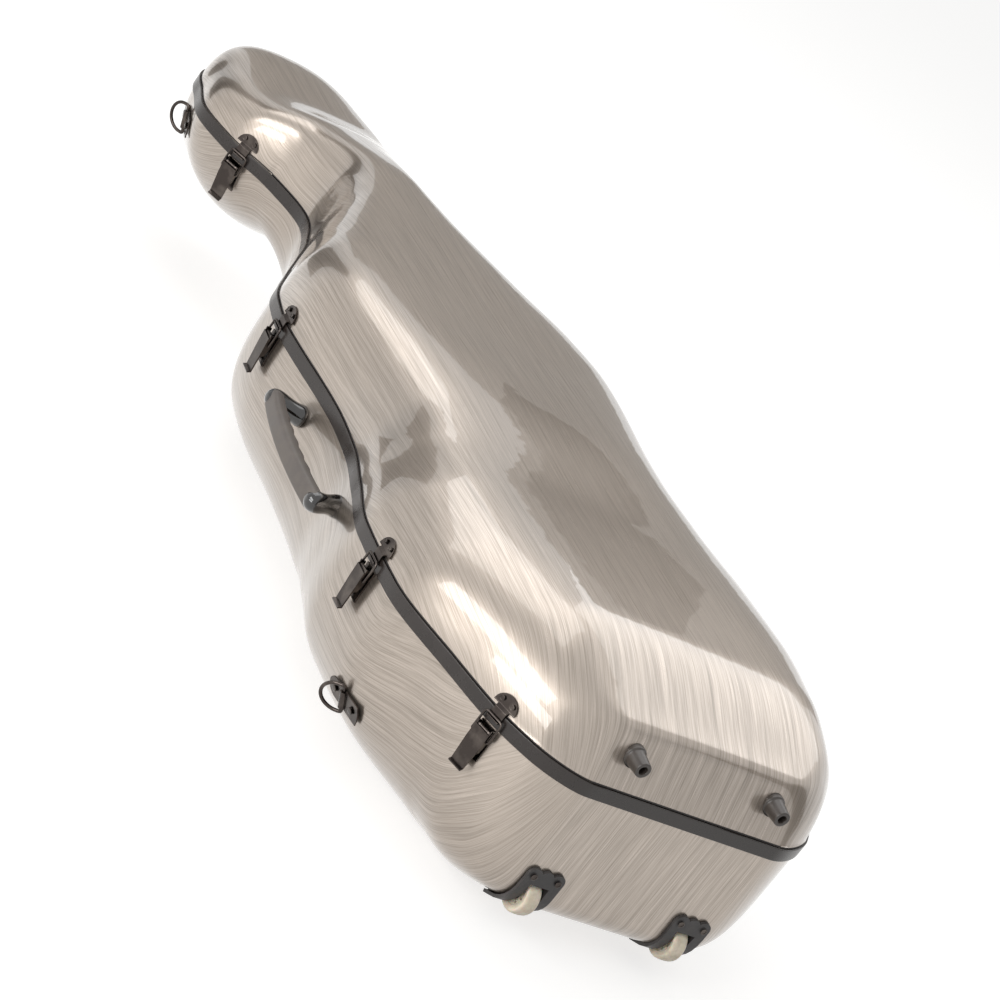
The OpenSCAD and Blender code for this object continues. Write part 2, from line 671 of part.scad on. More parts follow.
module elbow_pair() {
    difference() {
        each_foot() hull() {
            rotate([0, 90, 0]) cylinder(8, elbow_r, elbow_r);
            translate([end_out, elbow_splay, 0]) sphere(elbow_r);
        }
        translate([grip_out - grip_r, 0, 0]) rotate([0, 0, -asin(grip_len / 2 / grip_r)])
            rotate_extrude(angle = 2 * asin(grip_len / 2 / grip_r), $fn = 96)
                translate([grip_r - grip_t / 2, -30]) square([60, 60]);
        handle_core_solid();
        each_foot() translate([-20, 0, 0]) rotate([0, 90, 0]) cylinder(20 + bolt_reach, bolt_r, bolt_r);
    }
}
bolt_r = 3;
bolt_reach = 22;
bolt_head_in = shell_t + 2.4;
module handle_bolt_shanks() {
    handle_frame() each_foot() translate([-bolt_head_in, 0, 0]) rotate([0, 90, 0])
        cylinder(bolt_head_in + bolt_reach, bolt_r, bolt_r);
}
module handle_bolt_rooms() {
    handle_frame() each_foot() translate([-bolt_head_in - 5, 0, 0]) rotate([0, 90, 0]) cylinder(8, 9, 9);
}
module handle_bolts() {
    color(metal) {
        handle_bolt_shanks();
        handle_frame() each_foot() translate([-bolt_head_in - 4, 0, 0]) rotate([0, 90, 0]) {
            cylinder(3, 5, 5);
            translate([0, 0, 3]) cylinder(1, 7.5, 7.5);
        }
    }
}

// Strap brackets: sheet bent over the straight bar of a ring
ring_places = [[-1, low_ring_at, low_ring_drop], [1, low_ring_at, low_ring_drop],
    [-1, case_len - head_ring_back, head_ring_drop], [1, case_len - head_ring_back, head_ring_drop]];
ring_rest = 50;
bar_out = seat_gap + ring_wire / 2 + 0.4;
arch_r = ring_wire / 2 + 0.35;
module at_ring(k) { on_wall(ring_places[k][0], ring_places[k][1], ring_places[k][2]) children(); }
module bracket_outline() {
    half = bracket_len / 2 - bracket_w / 2;
    intersection() {
        square([bracket_len, bracket_w], center = true);
        union() {
            translate([-half, 0]) circle(bracket_w / 2);
            translate([-half, -bracket_w / 2]) square([bracket_len - 14, bracket_w]);
            translate([half, 0]) circle(bracket_w / 2 + 2, $fn = 8);
        }
    }
}
module strap_bracket() {
    difference() {
        union() {
            translate([seat_gap + 0.5, 0, 0]) rotate([90, 0, 90]) linear_extrude(sheet_t) bracket_outline();
            translate([bar_out, 0, 0]) cylinder(bracket_w - 2, arch_r + sheet_t, arch_r + sheet_t, center = true);
        }
        translate([bar_out, 0, 0]) cylinder(bracket_w, arch_r, arch_r, center = true);
        translate([-10, -bracket_len, -bracket_w]) cube([10 + seat_gap + 0.5, 2 * bracket_len, 2 * bracket_w]);
        for (y = [-1, 1]) translate([0, y * bracket_rivet_gap / 2, 0]) shank(8);
    }
}
module strap_brackets() { color(metal) for (k = [0 : 3]) at_ring(k) strap_bracket(); }
module bracket_rivet_shanks() {
    for (k = [0 : 3]) at_ring(k) for (y = [-1, 1]) translate([0, y * bracket_rivet_gap / 2, 0]) shank(seat_gap + 0.5 + sheet_t);
}
module strap_bracket_rivets() {
    color(metal) {
        bracket_rivet_shanks();
        for (k = [0 : 3]) at_ring(k) for (y = [-1, 1])
            translate([seat_gap + 0.6 + sheet_t, y * bracket_rivet_gap / 2, 0]) fixing_head(4.2, 2);
    }
}
module strap_ring(k) {
    r = ring_wire / 2;
    half = ring_w / 2 - r;
    straight = ring_reach - half - r;
    color(metal) at_ring(k) translate([bar_out, 0, 0]) rotate([0, 0, ring_places[k][0] * ring_rest]) {
        cylinder(2 * half, r, r, center = true);
        for (z = [-half, half]) translate([0, 0, z]) {
            sphere(r);
            rotate([0, 90, 0]) cylinder(max(0.1, straight), r, r);
        }
        translate([max(0.1, straight), 0, 0]) rotate([90, 0, 0]) rotate([0, 0, -90])
            rotate_extrude(angle = 180) translate([half, 0]) circle(r);
    }
}

// Wheels: moulded housings round the corner of the base end, each with an axle
axle_y = axle_in - rest_at;
axle_z = seam_z - axle_drop;
well_half = wheel_w / 2 + 5;
housing_half = well_half + 9.5;
housing_t = 2;
plate_t = 3.4;
lobe_r = 9;
lobe_up = 31;
axle_r = axle_d / 2;
function belly_z(s, x) =
    let (n = square_at(false, s), c = min(0.995, x / half_width(s)), v = pow(1 - pow(c, n), 1 / n))
    seam_z - section_z(false, s, 0, c, v);
function leg_line(x, to) = concat(
    [[-rest_at, axle_z + lobe_up]],
    [for (s = [0, 0.6, 2.4, 5.5, 10, 16, 24, 32, 42]) if (s <= to) [s - rest_at, belly_z(s, x)]]
);
function side_step(p, i, off) =
    let (a = p[max(0, i - 1)], b = p[min(len(p) - 1, i + 1)], d = (b - a) / norm(b - a))
    p[i] + off * [d[1], -d[0]];
module end_profile(points, w) { rotate([90, 0, 90]) linear_extrude(w, center = true) polygon(points); }
module housing_leg(x, w) {
    line = leg_line(abs(x) - w / 2, 32);
    translate([x, 0, 0]) end_profile(concat(
        [for (i = [0 : len(line) - 1]) side_step(line, i, seat_gap)],
        [for (i = [len(line) - 1 : -1 : 0]) side_step(line, i, seat_gap + plate_t)]
    ), w);
}
module each_wheel() { for (side = [-1, 1]) translate([side * wheel_x, 0, 0]) children(); }
module housing_liner(x) {
    line = leg_line(abs(x), 42);
    intersection() {
        difference() {
            wheel_well(x, -0.05);
            wheel_well(x, -housing_t);
        }
        translate([x, 0, 0]) end_profile(concat(
            [for (i = [0 : len(line) - 1]) side_step(line, i, plate_t / 2)], [[42 - rest_at, line[0][1]]]
        ), 60);
    }
}
module wheel_housing(side) {
    x = side * wheel_x;
    difference() {
        union() {
            translate([x, -rest_at - seat_gap, axle_z]) rotate([90, 0, 0]) linear_extrude(plate_t) difference() {
                union() {
                    for (k = [-1 : 1]) translate([k * (housing_half - lobe_r), lobe_up]) circle(lobe_r);
                    translate([-housing_half, 20]) square([2 * housing_half, lobe_up - 20]);
                    translate([-housing_half + lobe_r, lobe_up]) square([2 * (housing_half - lobe_r), 5]);
                }
                translate([-well_half + housing_t, 0]) square([2 * (well_half - housing_t), lobe_up - 10]);
            }
            for (k = [-1, 1]) housing_leg(x + k * (well_half + housing_half - housing_t) / 2, housing_half - well_half + housing_t);
            housing_liner(x);
        }
        translate([x, axle_y, axle_z]) rotate([0, 90, 0]) cylinder(4 * well_half, axle_r, axle_r, center = true);
        housing_screws_at(side) shank(10);
    }
}
module housing_screws_at(side) {
    for (k = [-1, 1]) translate([side * wheel_x + k * (housing_half - lobe_r + 1), -rest_at, axle_z + lobe_up])
        rotate([0, 0, -90]) children();
}
module wheel_housings() { color(black) for (side = [-1, 1]) wheel_housing(side); }
module housing_screw_shanks() { for (side = [-1, 1]) housing_screws_at(side) shank(seat_gap + plate_t); }
module wheel_housing_screws() {
    color(metal) {
        housing_screw_shanks();
        for (side = [-1, 1]) housing_screws_at(side) translate([seat_gap + plate_t + 0.1, 0, 0]) fixing_head(3.6, 1.6);
    }
}
module wheel_axles() {
    color(metal) each_wheel() translate([0, axle_y, axle_z]) rotate([0, 90, 0])
        cylinder(2 * well_half - 0.2, axle_r, axle_r, center = true);
}
hub_r = 13;
bearing_r = 7.5;
module at_wheel(side) { translate([side * wheel_x, axle_y, axle_z]) rotate([0, 90, 0]) children(); }
module wheel_tyre(side) {
    r = wheel_d / 2;
    h = wheel_w / 2;
    color("#cfc2ae") at_wheel(side) rotate_extrude()
        polygon([[hub_r, -h + 1.5], [r - 3, -h], [r - 0.8, -h + 2.2], [r, -h + 6], [r, h - 6], [r - 0.8, h - 2.2],
            [r - 3, h], [hub_r, h - 1.5]]);
}
module wheel_hub(side) {
    color("#b9ab97") at_wheel(side) difference() {
        cylinder(wheel_w - 5, hub_r, hub_r, center = true);
        cylinder(wheel_w, bearing_r, bearing_r, center = true);
        for (k = [0 : 7]) rotate(k * 45) translate([(hub_r + bearing_r) / 2, 0, 0])
            cylinder(wheel_w, 1.5, 1.5, center = true);
    }
}
module wheel_bearings(side) {
    color("#9a958f") at_wheel(side) for (z = [-4.5, 4.5]) translate([0, 0, z]) difference() {
        cylinder(5, bearing_r, bearing_r, center = true);
        cylinder(6, axle_r + run_gap, axle_r + run_gap, center = true);
    }
}

// Hinges: two pairs of leaves on the common tangent of the bouts, away from the latches
function span_slope(a, b) = (half_width(b) - half_width(a)) / (b - a);
function reach_past(m, s) = half_width(s) - m * (s - lower_bout_at);
function farthest(m, list) = let (top = max([for (s = list) reach_past(m, s)])) [for (s = list) if (reach_past(m, s) == top) s][0];
lower_range = [for (k = [-30 : 6 : 150]) lower_bout_at + k];
upper_range = [for (k = [-30 : 6 : 60]) upper_bout_at + k];
first_slope = span_slope(lower_bout_at, upper_bout_at);
hinge_at = [farthest(first_slope, lower_range), farthest(first_slope, upper_range)];
hinge_slope = span_slope(hinge_at[0], hinge_at[1]);
hinge_turn = -atan(hinge_slope);
function hinge_x(s) = half_width(hinge_at[0]) + hinge_slope * (s - hinge_at[0]) + hinge_out / cos(hinge_turn);
module at_hinge(k) {
    translate([hinge_x(hinge_at[k]), hinge_at[k] - rest_at, seam_z]) rotate([0, 0, hinge_turn]) children();
}
knuckle_r = knuckle_d / 2;
hinge_pin_r = hinge_pin_d / 2;
leaf_t = 2;
knuckles = 5;
hinge_rivet_y = hinge_len / 2 - 12;
function hinge_wall(k, lid, z) = -hinge_out - draw_in(lid, hinge_at[k], z) * cos(hinge_turn);
module knuckle_rows(first) {
    step = hinge_len / knuckles;
    for (j = [first : 2 : knuckles - 1]) translate([0, -hinge_len / 2 + (j + 0.5) * step, 0])
        rotate([90, 0, 0]) linear_extrude(step - 0.6, center = true) children();
}
module back_leaf(k) {
    drops = [band_h + 1.7, 30, 38, 46];
    in = -hinge_out + band_t + 0.7;
    difference() {
        union() {
            strip(concat(
                [for (d = drops) [hinge_wall(k, false, d) + seat_gap, -d]],
                [for (j = [3 : -1 : 0]) [hinge_wall(k, false, drops[j]) + seat_gap + leaf_t, -drops[j]]]
            ), hinge_len);
            knuckle_rows(0) {
                circle(knuckle_r);
                polygon([
                    [hinge_wall(k, false, drops[0]) + seat_gap, -drops[0]], [in, -drops[0]], [in, -8], [-2, -2],
                    [1.5, -4], [in + 2.6, -12], [in + 2.6, -drops[0] - 2.5],
                    [hinge_wall(k, false, drops[0]) + seat_gap, -drops[0] - 2.5]
                ]);
            }
        }
        rotate([90, 0, 0]) cylinder(hinge_len + 2, hinge_pin_r, hinge_pin_r, center = true);
        hinge_rivets_on(k, false) shank(10);
    }
}
module lid_leaf(k) {
    ups = [7, 15, 24, 32];
    difference() {
        union() {
            strip(concat(
                [for (u = ups) [hinge_wall(k, true, u) + seat_gap, u]],
                [for (j = [3 : -1 : 0]) [hinge_wall(k, true, ups[j]) + seat_gap + leaf_t, ups[j]]]
            ), hinge_len);
            knuckle_rows(1) {
                circle(knuckle_r);
                polygon([
                    [hinge_wall(k, true, 7) + seat_gap, 7], [-3.5, 1], [0, 4], [hinge_wall(k, true, 11) + seat_gap, 11]
                ]);
            }
        }
        rotate([90, 0, 0]) cylinder(hinge_len + 2, hinge_pin_r + run_gap, hinge_pin_r + run_gap, center = true);
        hinge_rivets_on(k, true) shank(10);
    }
}
module hinge_rivets_on(k, lid) {
    z = lid ? 22 : 36;
    for (y = [-hinge_rivet_y, hinge_rivet_y]) translate([hinge_wall(k, lid, z), y, lid ? z : -z])
        rotate([0, tilt(lid, hinge_at[k], z) * (lid ? -1 : 1), 0]) children();
}
module hinge_rivet_shanks(lid) { for (k = [0, 1]) at_hinge(k) hinge_rivets_on(k, lid) shank(seat_gap + leaf_t); }
module hinge_rivet_set(lid) {
    color(metal) {
        hinge_rivet_shanks(lid);
        for (k = [0, 1]) at_hinge(k) hinge_rivets_on(k, lid) translate([seat_gap + leaf_t + 0.1, 0, 0]) fixing_head(3.4, 1.5);
    }
}
module hinge_back_leaves() { color(metal) for (k = [0, 1]) at_hinge(k) back_leaf(k); }
module hinge_lid_leaves() { color(metal) for (k = [0, 1]) at_hinge(k) lid_leaf(k); }
module hinge_pins() {
    color(metal) for (k = [0, 1]) at_hinge(k) rotate([90, 0, 0])
        cylinder(hinge_len, hinge_pin_r, hinge_pin_r, center = true);
}

// Lid
module lid_shell() {
    color(silver) difference() {
        shell(true, 0, shell_t, seam_gap + gasket_h, 9);
        keeper_screw_shanks();
        foot_screw_shanks();
        hinge_rivet_shanks(true);
    }
}
module lid_gasket() {
    color("#262323") translate([0, 0, lid_z]) seam_ring(gasket_proud, -shell_t - 3, gasket_h);
}
module lid_lining() { color("#3a3a42") shell(true, lining_out, lining_in, gasket_h + 2, 4); }

// Feet on the leaning end face of the lid
lean = atan(lid_end_lean / 100);
foot_face_y = lid_end_lean * foot_up / 100 - rest_at;
foot_floor = 5;
module each_foot_of_lid() {
    for (x = [-foot_x, foot_x]) translate([x, foot_face_y, seam_z + foot_up]) rotate([0, 0, -90]) children();
}
module lid_feet() {
    color("#4d524c") difference() {
        each_foot_of_lid() difference() {
            translate([-8, 0, 0]) rotate([0, 90, 0]) union() {
                cylinder(foot_len + 8, foot_d / 2 + 1, foot_tip_d / 2);
                cylinder(10, foot_d / 2 + 1.5, foot_d / 2 + 1.5);
            }
            translate([foot_floor, 0, 0]) rotate([0, 90, 0]) cylinder(foot_len, foot_bore / 2, foot_bore / 2);
            shank(foot_floor + 2);
        }
        translate([0, -rest_at, seam_z]) rotate([-lean, 0, 0]) translate([-300, -seat_gap, -100]) cube([600, 60, 300]);
    }
}
module foot_screw_shanks() { each_foot_of_lid() shank(foot_floor); }
module lid_foot_screws() {
    color(metal) {
        foot_screw_shanks();
        each_foot_of_lid() translate([foot_floor + 0.1, 0, 0]) fixing_head(foot_bore / 2 - 0.8, 2.4);
    }
}

// Inside of the back: pads at the bouts, a pad at the base, and a cradle with a strap for the neck
pad_top = 30;
module filled(lid, from, to) {
    intersection() {
        cavity(lid, pad_off, 4, from, to);
        union() children();
    }
}
module slab(s, len_y, x, w, z0, z1) { translate([x - w / 2, s - len_y / 2 - rest_at, z0]) cube([w, len_y, z1 - z0]); }
module bout_pads() {
    color("#46464f") {
        filled(false, lower_bout_at - 30, lower_bout_at + 90) for (side = [-1, 1])
            slab(lower_bout_at + 30, 110, side * lower_bout_w / 2, 130, 0, seam_z - pad_top);
        filled(false, upper_bout_at - 50, upper_bout_at + 50) for (side = [-1, 1])
            slab(upper_bout_at, 90, side * upper_bout_w / 2, 120, 0, seam_z - pad_top);
    }
}
module base_pad() {
    color("#46464f") filled(false, 0, 80) difference() {
        slab(40, 60, 0, 120, 0, seam_z - pad_top - 20);
        translate([0, 40 - rest_at, seam_z - pad_top - 20]) rotate([90, 0, 0]) cylinder(70, 22, 22, center = true);
    }
}
module neck_cradle() {
    color("#46464f") filled(false, cradle_at - 40, cradle_at + 40) difference() {
        slab(cradle_at, cradle_len, 0, 2 * neck_w, 0, seam_z - pad_top);
        slab(cradle_at, cradle_len + 2, 0, cradle_slot, seam_z - pad_top - 14, seam_z);
        translate([0, cradle_at - rest_at, seam_z - pad_top - 14]) rotate([90, 0, 0])
            cylinder(cradle_len + 2, cradle_slot / 2, cradle_slot / 2, center = true);
    }
}
module neck_strap() {
    color("#1f1f22") slab(cradle_at, 30, 0, cradle_slot + 40, seam_z - pad_top + 0.3, seam_z - pad_top + 2.3);
}

// Inside of the lid: a pocket, and rests with turning clips for two bows
rest_low = seam_z + 54;
rest_w = 40;
clip_t = 3.2;
clip_pin_r = 2;
clip_off = bow_groove / 2 + 6;
rest_len = 36;
lid_top = seam_z + lid_bridge_depth + 17;
pocket_at = 590;
pocket_len = 190;
pocket_w = 76;
pocket_up = 70;
module lid_pocket() {
    color("#3f3f48") filled(true, pocket_at - pocket_len / 2 - 5, pocket_at + pocket_len / 2 + 5)
        slab(pocket_at, pocket_len, 0, pocket_w, seam_z + pocket_up, lid_top);
}
module bow_rests() {
    color("#35353c") for (s = bow_at) filled(true, s - 20, s + 20) for (side = [-1, 1]) difference() {
        slab(s, rest_len, side * bow_x, rest_w, rest_low, lid_top);
        translate([side * bow_x, s - rest_at, rest_low]) rotate([90, 0, 0])
            cylinder(40, bow_groove / 2, bow_groove / 2, center = true);
        if (s == bow_at[0]) translate([side * (bow_x + clip_off), s - rest_at, rest_low - 1])
            cylinder(11, clip_pin_r + run_gap, clip_pin_r + run_gap);
    }
}
module bow_clip(side) {
    l = bow_groove + 12;
    color("#1f1f22") translate([side * (bow_x + clip_off), bow_at[0] - rest_at, rest_low]) {
        translate([0, 0, -0.4]) cylinder(9, clip_pin_r, clip_pin_r);
        translate([0, 0, -clip_t - 0.3]) {
            cylinder(clip_t, 6, 6);
            translate([-side * l / 2 - l / 2, -4.5, 0]) cube([l, 9, clip_t]);
            translate([-side * l, 0, 0]) cylinder(clip_t, 4.5, 4.5);
        }
    }
}

back_shell();
back_rim_band();
back_lining();
bout_pads();
base_pad();
neck_cradle();
neck_strap();
latch_bases();
latch_base_rivets();
latch_pivot_pins();
latch_lever(0);  // latch_lever_1
latch_lever(1);  // latch_lever_2
latch_lever(2);  // latch_lever_3
latch_lever(3);  // latch_lever_4
latch_bail(0);  // latch_bail_1
latch_bail(1);  // latch_bail_2
latch_bail(2);  // latch_bail_3
latch_bail(3);  // latch_bail_4
handle_core();
handle_grip();
handle_elbows();
handle_bolts();
strap_brackets();
strap_bracket_rivets();
strap_ring(0);  // strap_ring_1
strap_ring(1);  // strap_ring_2
strap_ring(2);  // strap_ring_3
strap_ring(3);  // strap_ring_4
wheel_housings();
wheel_housing_screws();
wheel_axles();
wheel_tyre(-1);  // wheel_tyre_left
wheel_hub(-1);  // wheel_hub_left
wheel_bearings(-1);  // wheel_bearings_left
wheel_tyre(1);  // wheel_tyre_right
wheel_hub(1);  // wheel_hub_right
wheel_bearings(1);  // wheel_bearings_right
hinge_back_leaves();
hinge_rivet_set(false);  // hinge_back_rivets
hinge_pins();
lid_shell();
lid_gasket();
lid_lining();
lid_pocket();
latch_keepers();
keeper_screws();
lid_feet();
lid_foot_screws();
hinge_lid_leaves();
hinge_rivet_set(true);  // hinge_lid_rivets
bow_rests();
bow_clip(-1);  // bow_clip_1
bow_clip(1);  // bow_clip_2
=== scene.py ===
import json
import math

import bmesh
import bpy
import numpy as np
from mathutils import Matrix, Vector


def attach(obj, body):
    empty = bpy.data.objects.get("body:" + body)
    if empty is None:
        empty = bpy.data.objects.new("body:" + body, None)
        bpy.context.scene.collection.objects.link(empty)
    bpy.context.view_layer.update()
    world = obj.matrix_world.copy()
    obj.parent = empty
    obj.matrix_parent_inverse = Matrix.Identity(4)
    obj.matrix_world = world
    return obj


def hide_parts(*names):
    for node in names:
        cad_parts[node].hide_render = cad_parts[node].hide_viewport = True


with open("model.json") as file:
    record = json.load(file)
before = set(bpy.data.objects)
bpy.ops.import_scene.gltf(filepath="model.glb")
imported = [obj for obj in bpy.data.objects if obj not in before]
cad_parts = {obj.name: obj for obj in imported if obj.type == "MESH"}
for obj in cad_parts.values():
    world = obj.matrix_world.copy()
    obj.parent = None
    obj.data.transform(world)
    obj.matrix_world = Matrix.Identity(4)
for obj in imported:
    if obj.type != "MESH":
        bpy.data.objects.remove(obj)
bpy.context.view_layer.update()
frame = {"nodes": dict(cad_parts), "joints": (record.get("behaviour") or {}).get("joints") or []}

# Camera. A long lens stands low on the latch side of the base end, and is rolled, so that the case
# lies diagonally in the picture with its head at the top left.
MM = 0.001
aim = Vector((0, 170, 190)) * MM
azimuth, elevation, roll = math.radians(-38.98), math.radians(19.52), math.radians(37.09)
level = Vector((math.cos(azimuth), math.sin(azimuth), 0))
back = Vector((
    math.sin(azimuth) * math.cos(elevation), -math.cos(azimuth) * math.cos(elevation), math.sin(elevation)
))
right = math.cos(roll) * level + math.sin(roll) * back.cross(level)
camera = bpy.data.objects.new("camera", bpy.data.cameras.new("camera"))
camera.data.sensor_width = 36
camera.data.lens = 144.26
camera.data.shift_x, camera.data.shift_y = 0.0272, -0.0492
stand_off = 4.2974
turn_to_aim = Matrix((right, back.cross(right), back)).transposed().to_4x4()
camera.matrix_world = Matrix.Translation(aim + back * stand_off) @ turn_to_aim
bpy.context.collection.objects.link(camera)
bpy.context.scene.camera = camera
bpy.context.scene.view_settings.view_transform = "Standard"


# Studio. The case lies on a white sweep under soft lamps. The floor keeps its shadow, and looks as
# white as the backdrop to the camera and in reflections.
def linear(code):
    """An sRGB hex colour as the linear colour that a shader takes."""
    parts = [int(code[k : k + 2], 16) / 255 for k in (1, 3, 5)]
    return [p / 12.92 if p <= 0.04045 else ((p + 0.055) / 1.055) ** 2.4 for p in parts] + [1]


def node(tree, kind, inputs=(), **settings):
    """Adds a node with its settings. An input is a number, a colour or another node's output."""
    made = tree.nodes.new(kind)
    for key, value in settings.items():
        setattr(made, key, value)
    for key, value in dict(inputs).items():
        if isinstance(value, bpy.types.NodeSocket):
            tree.links.new(value, made.inputs[key])
        else:
            made.inputs[key].default_value = value
    return made


def new_material(name):
    """An empty material, and its node tree."""
    made = bpy.data.materials.new(name)
    made.use_nodes = True
    made.node_tree.nodes.clear()
    return made, made.node_tree


def looked_at(tree):
    """1 where the camera, a gloss or a clear body looks, and 0 where the surface only lights others."""
    ray = node(tree, "ShaderNodeLightPath").outputs
    direct = node(tree, "ShaderNodeMath", {0: ray["Is Camera Ray"], 1: ray["Is Glossy Ray"]},
                  operation="MAXIMUM")
    either = node(tree, "ShaderNodeMath", {0: direct.outputs[0], 1: ray["Is Transmission Ray"]},
                  operation="MAXIMUM")
    return either.outputs[0]


# Painted paper: a matt off-white whose glow lifts it to the backdrop's white, but for the shadow
sweep, tree = new_material("painted_sweep")
paint = node(tree, "ShaderNodeBsdfDiffuse", {"Color": linear("#bdbcba")})
glow = node(tree, "ShaderNodeEmission", {"Color": linear("#ffffff"), "Strength": 0.68})
both = node(tree, "ShaderNodeAddShader", {0: paint.outputs[0], 1: glow.outputs[0]})
mixed = node(tree, "ShaderNodeMixShader", {0: looked_at(tree), 1: paint.outputs[0], 2: both.outputs[0]})
node(tree, "ShaderNodeOutputMaterial", {"Surface": mixed.outputs[0]})

SWEEP_HALF, SWEEP_DROP = 9, -0.0005
floor_mesh = bpy.data.meshes.new("floor")
floor_mesh.from_pydata([(x * SWEEP_HALF, y * SWEEP_HALF, SWEEP_DROP)
                        for x, y in ((-1, -1), (1, -1), (1, 1), (-1, 1))], [], [(0, 1, 2, 3)])
floor_mesh.materials.append(sweep)
floor = bpy.data.objects.new("floor", floor_mesh)
bpy.context.collection.objects.link(floor)

world = bpy.data.worlds.new("studio")
world.use_nodes = True
world.node_tree.nodes.clear()
tree = world.node_tree
room = node(tree, "ShaderNodeBackground", {"Color": linear("#ffffff"), "Strength": 0.45})
white = node(tree, "ShaderNodeBackground", {"Color": linear("#ffffff"), "Strength": 1.0})
mixed = node(tree, "ShaderNodeMixShader", {0: looked_at(tree), 1: room.outputs[0], 2: white.outputs[0]})
node(tree, "ShaderNodeOutputWorld", {"Surface": mixed.outputs[0]})
bpy.context.scene.world = world


def soft_lamp(name, place, target, width, height, power):
    """A softbox at a place, in metres, turned to a target. Its power is in watts."""
    lamp = bpy.data.objects.new(name, bpy.data.lights.new(name, "AREA"))
    lamp.data.shape = "RECTANGLE"
    lamp.data.size, lamp.data.size_y, lamp.data.energy = width, height, power
    lamp.location = place
    lamp.rotation_euler = (Vector(target) - Vector(place)).to_track_quat("-Z", "Y").to_euler()
    bpy.context.collection.objects.link(lamp)


soft_lamp("top_box", (-0.4, 1.8, 3.2), (0, 0.2, 0.2), 2.6, 2.6, 34)
soft_lamp("side_box", (-3.0, -0.5, 1.5), (0, 0.1, 0.2), 3.0, 1.0, 46)
soft_lamp("far_box", (2.1, 1.1, 2.5), (0.1, -0.3, 0.25), 2.3, 1.7, 17)
soft_lamp("low_box", (-2.6, -0.9, 0.45), (0, -0.1, 0.12), 2.2, 0.5, 20)


# Cards. Panels of grey and black felt stand round the sweep, out of the picture, so that the gloss has
# something dark to mirror, as it has in a photographer's studio.
def card(name, colour, bearing, distance, width, low, high, middle=(0, 0.17)):
    """An upright panel that faces a place from a bearing in degrees, anticlockwise from +X."""
    felt, tree = new_material(name + "_felt")
    nap = node(tree, "ShaderNodeBsdfDiffuse", {"Color": linear(colour)})
    node(tree, "ShaderNodeOutputMaterial", {"Surface": nap.outputs[0]})
    way = Vector((math.cos(math.radians(bearing)), math.sin(math.radians(bearing)), 0))
    across = Vector((-way.y, way.x, 0)) * width / 2
    stand = Vector((*middle, 0)) + way * distance
    corners = [stand + across * a + Vector((0, 0, z))
               for a, z in ((-1, low), (1, low), (1, high), (-1, high))]
    mesh = bpy.data.meshes.new(name)
    mesh.from_pydata(corners, [], [(0, 1, 2, 3)])
    mesh.materials.append(felt)
    panel = bpy.data.objects.new(name, mesh)
    bpy.context.collection.objects.link(panel)
    panel.visible_camera = panel.visible_diffuse = panel.visible_shadow = False


card("grey_far", "#bdb8b3", 50, 3.0, 3.0, 0.5, 1.9)
card("black_far", "#4a4643", 51, 1.3, 0.42, 0.66, 0.84, (-0.07, -0.17))
card("black_right", "#4a4643", -38, 2.6, 1.0, 0.2, 1.9)
card("black_left", "#4a4643", 104, 1.6, 0.4, 0, 1.3)


# Shells. Both halves are vacuum formed from sheet with a brushed silver film under clear lacquer. The
# sheet lies flat over the plateau and is drawn down round the bouts, so its brushing runs along the
# case on top, straight down the end faces, and in arcs round the corners of the base end.
CASE_LEN, BASE_AT, SEAM = 1360, 430, 190
SHELL_WALL = 3


def through(rows):
    """A smooth curve through pairs of x and y, which never runs past them."""
    x, y = np.array(rows, float).T
    step, rate = np.diff(x), np.diff(y) / np.diff(x)
    tangent = np.concatenate([rate[:1], np.zeros(len(x) - 2), rate[-1:]])
    for i in range(1, len(x) - 1):
        if rate[i - 1] * rate[i] > 0:
            a, b = step[i], step[i - 1]
            tangent[i] = 3 * (a + b) / ((2 * a + b) / rate[i - 1] + (a + 2 * b) / rate[i])

    def at(s):
        i = np.clip(np.searchsorted(x, s, side="right") - 1, 0, len(x) - 2)
        u = np.clip((s - x[i]) / step[i], 0, 1)
        return ((2 * u**3 - 3 * u**2 + 1) * y[i] + (u**3 - 2 * u**2 + u) * step[i] * tangent[i]
                + (3 * u**2 - 2 * u**3) * y[i + 1] + (u**3 - u**2) * step[i] * tangent[i + 1])
    return at


def part_way(a, b, *shares):
    """Points between a and b, by their shares of the way along and across."""
    return [(a[0] + (b[0] - a[0]) * f, a[1] + (b[1] - a[1]) * g) for f, g in shares]


base, lower_bout, waist = (0, 156), (250, 262), (575, 200)
upper_bout, neck, head, head_tip = (710, 208), (1030, 56), (1215, 132), (1360, 113.5)
half_plan = through([
    base, *part_way(base, lower_bout, (0.28, 0.48), (0.56, 0.72)), lower_bout,
    *part_way(lower_bout, waist, (0.28, 0.08), (0.55, 0.52), (0.77, 0.87)), waist, upper_bout,
    *part_way(upper_bout, neck, (0.22, 0.08), (0.41, 0.31), (0.59, 0.57), (0.78, 0.83)), neck,
    *part_way(neck, head, (0.38, 0.27), (0.70, 0.80)), head,
    *part_way(head, head_tip, (0.45, 0.85)), head_tip,
])
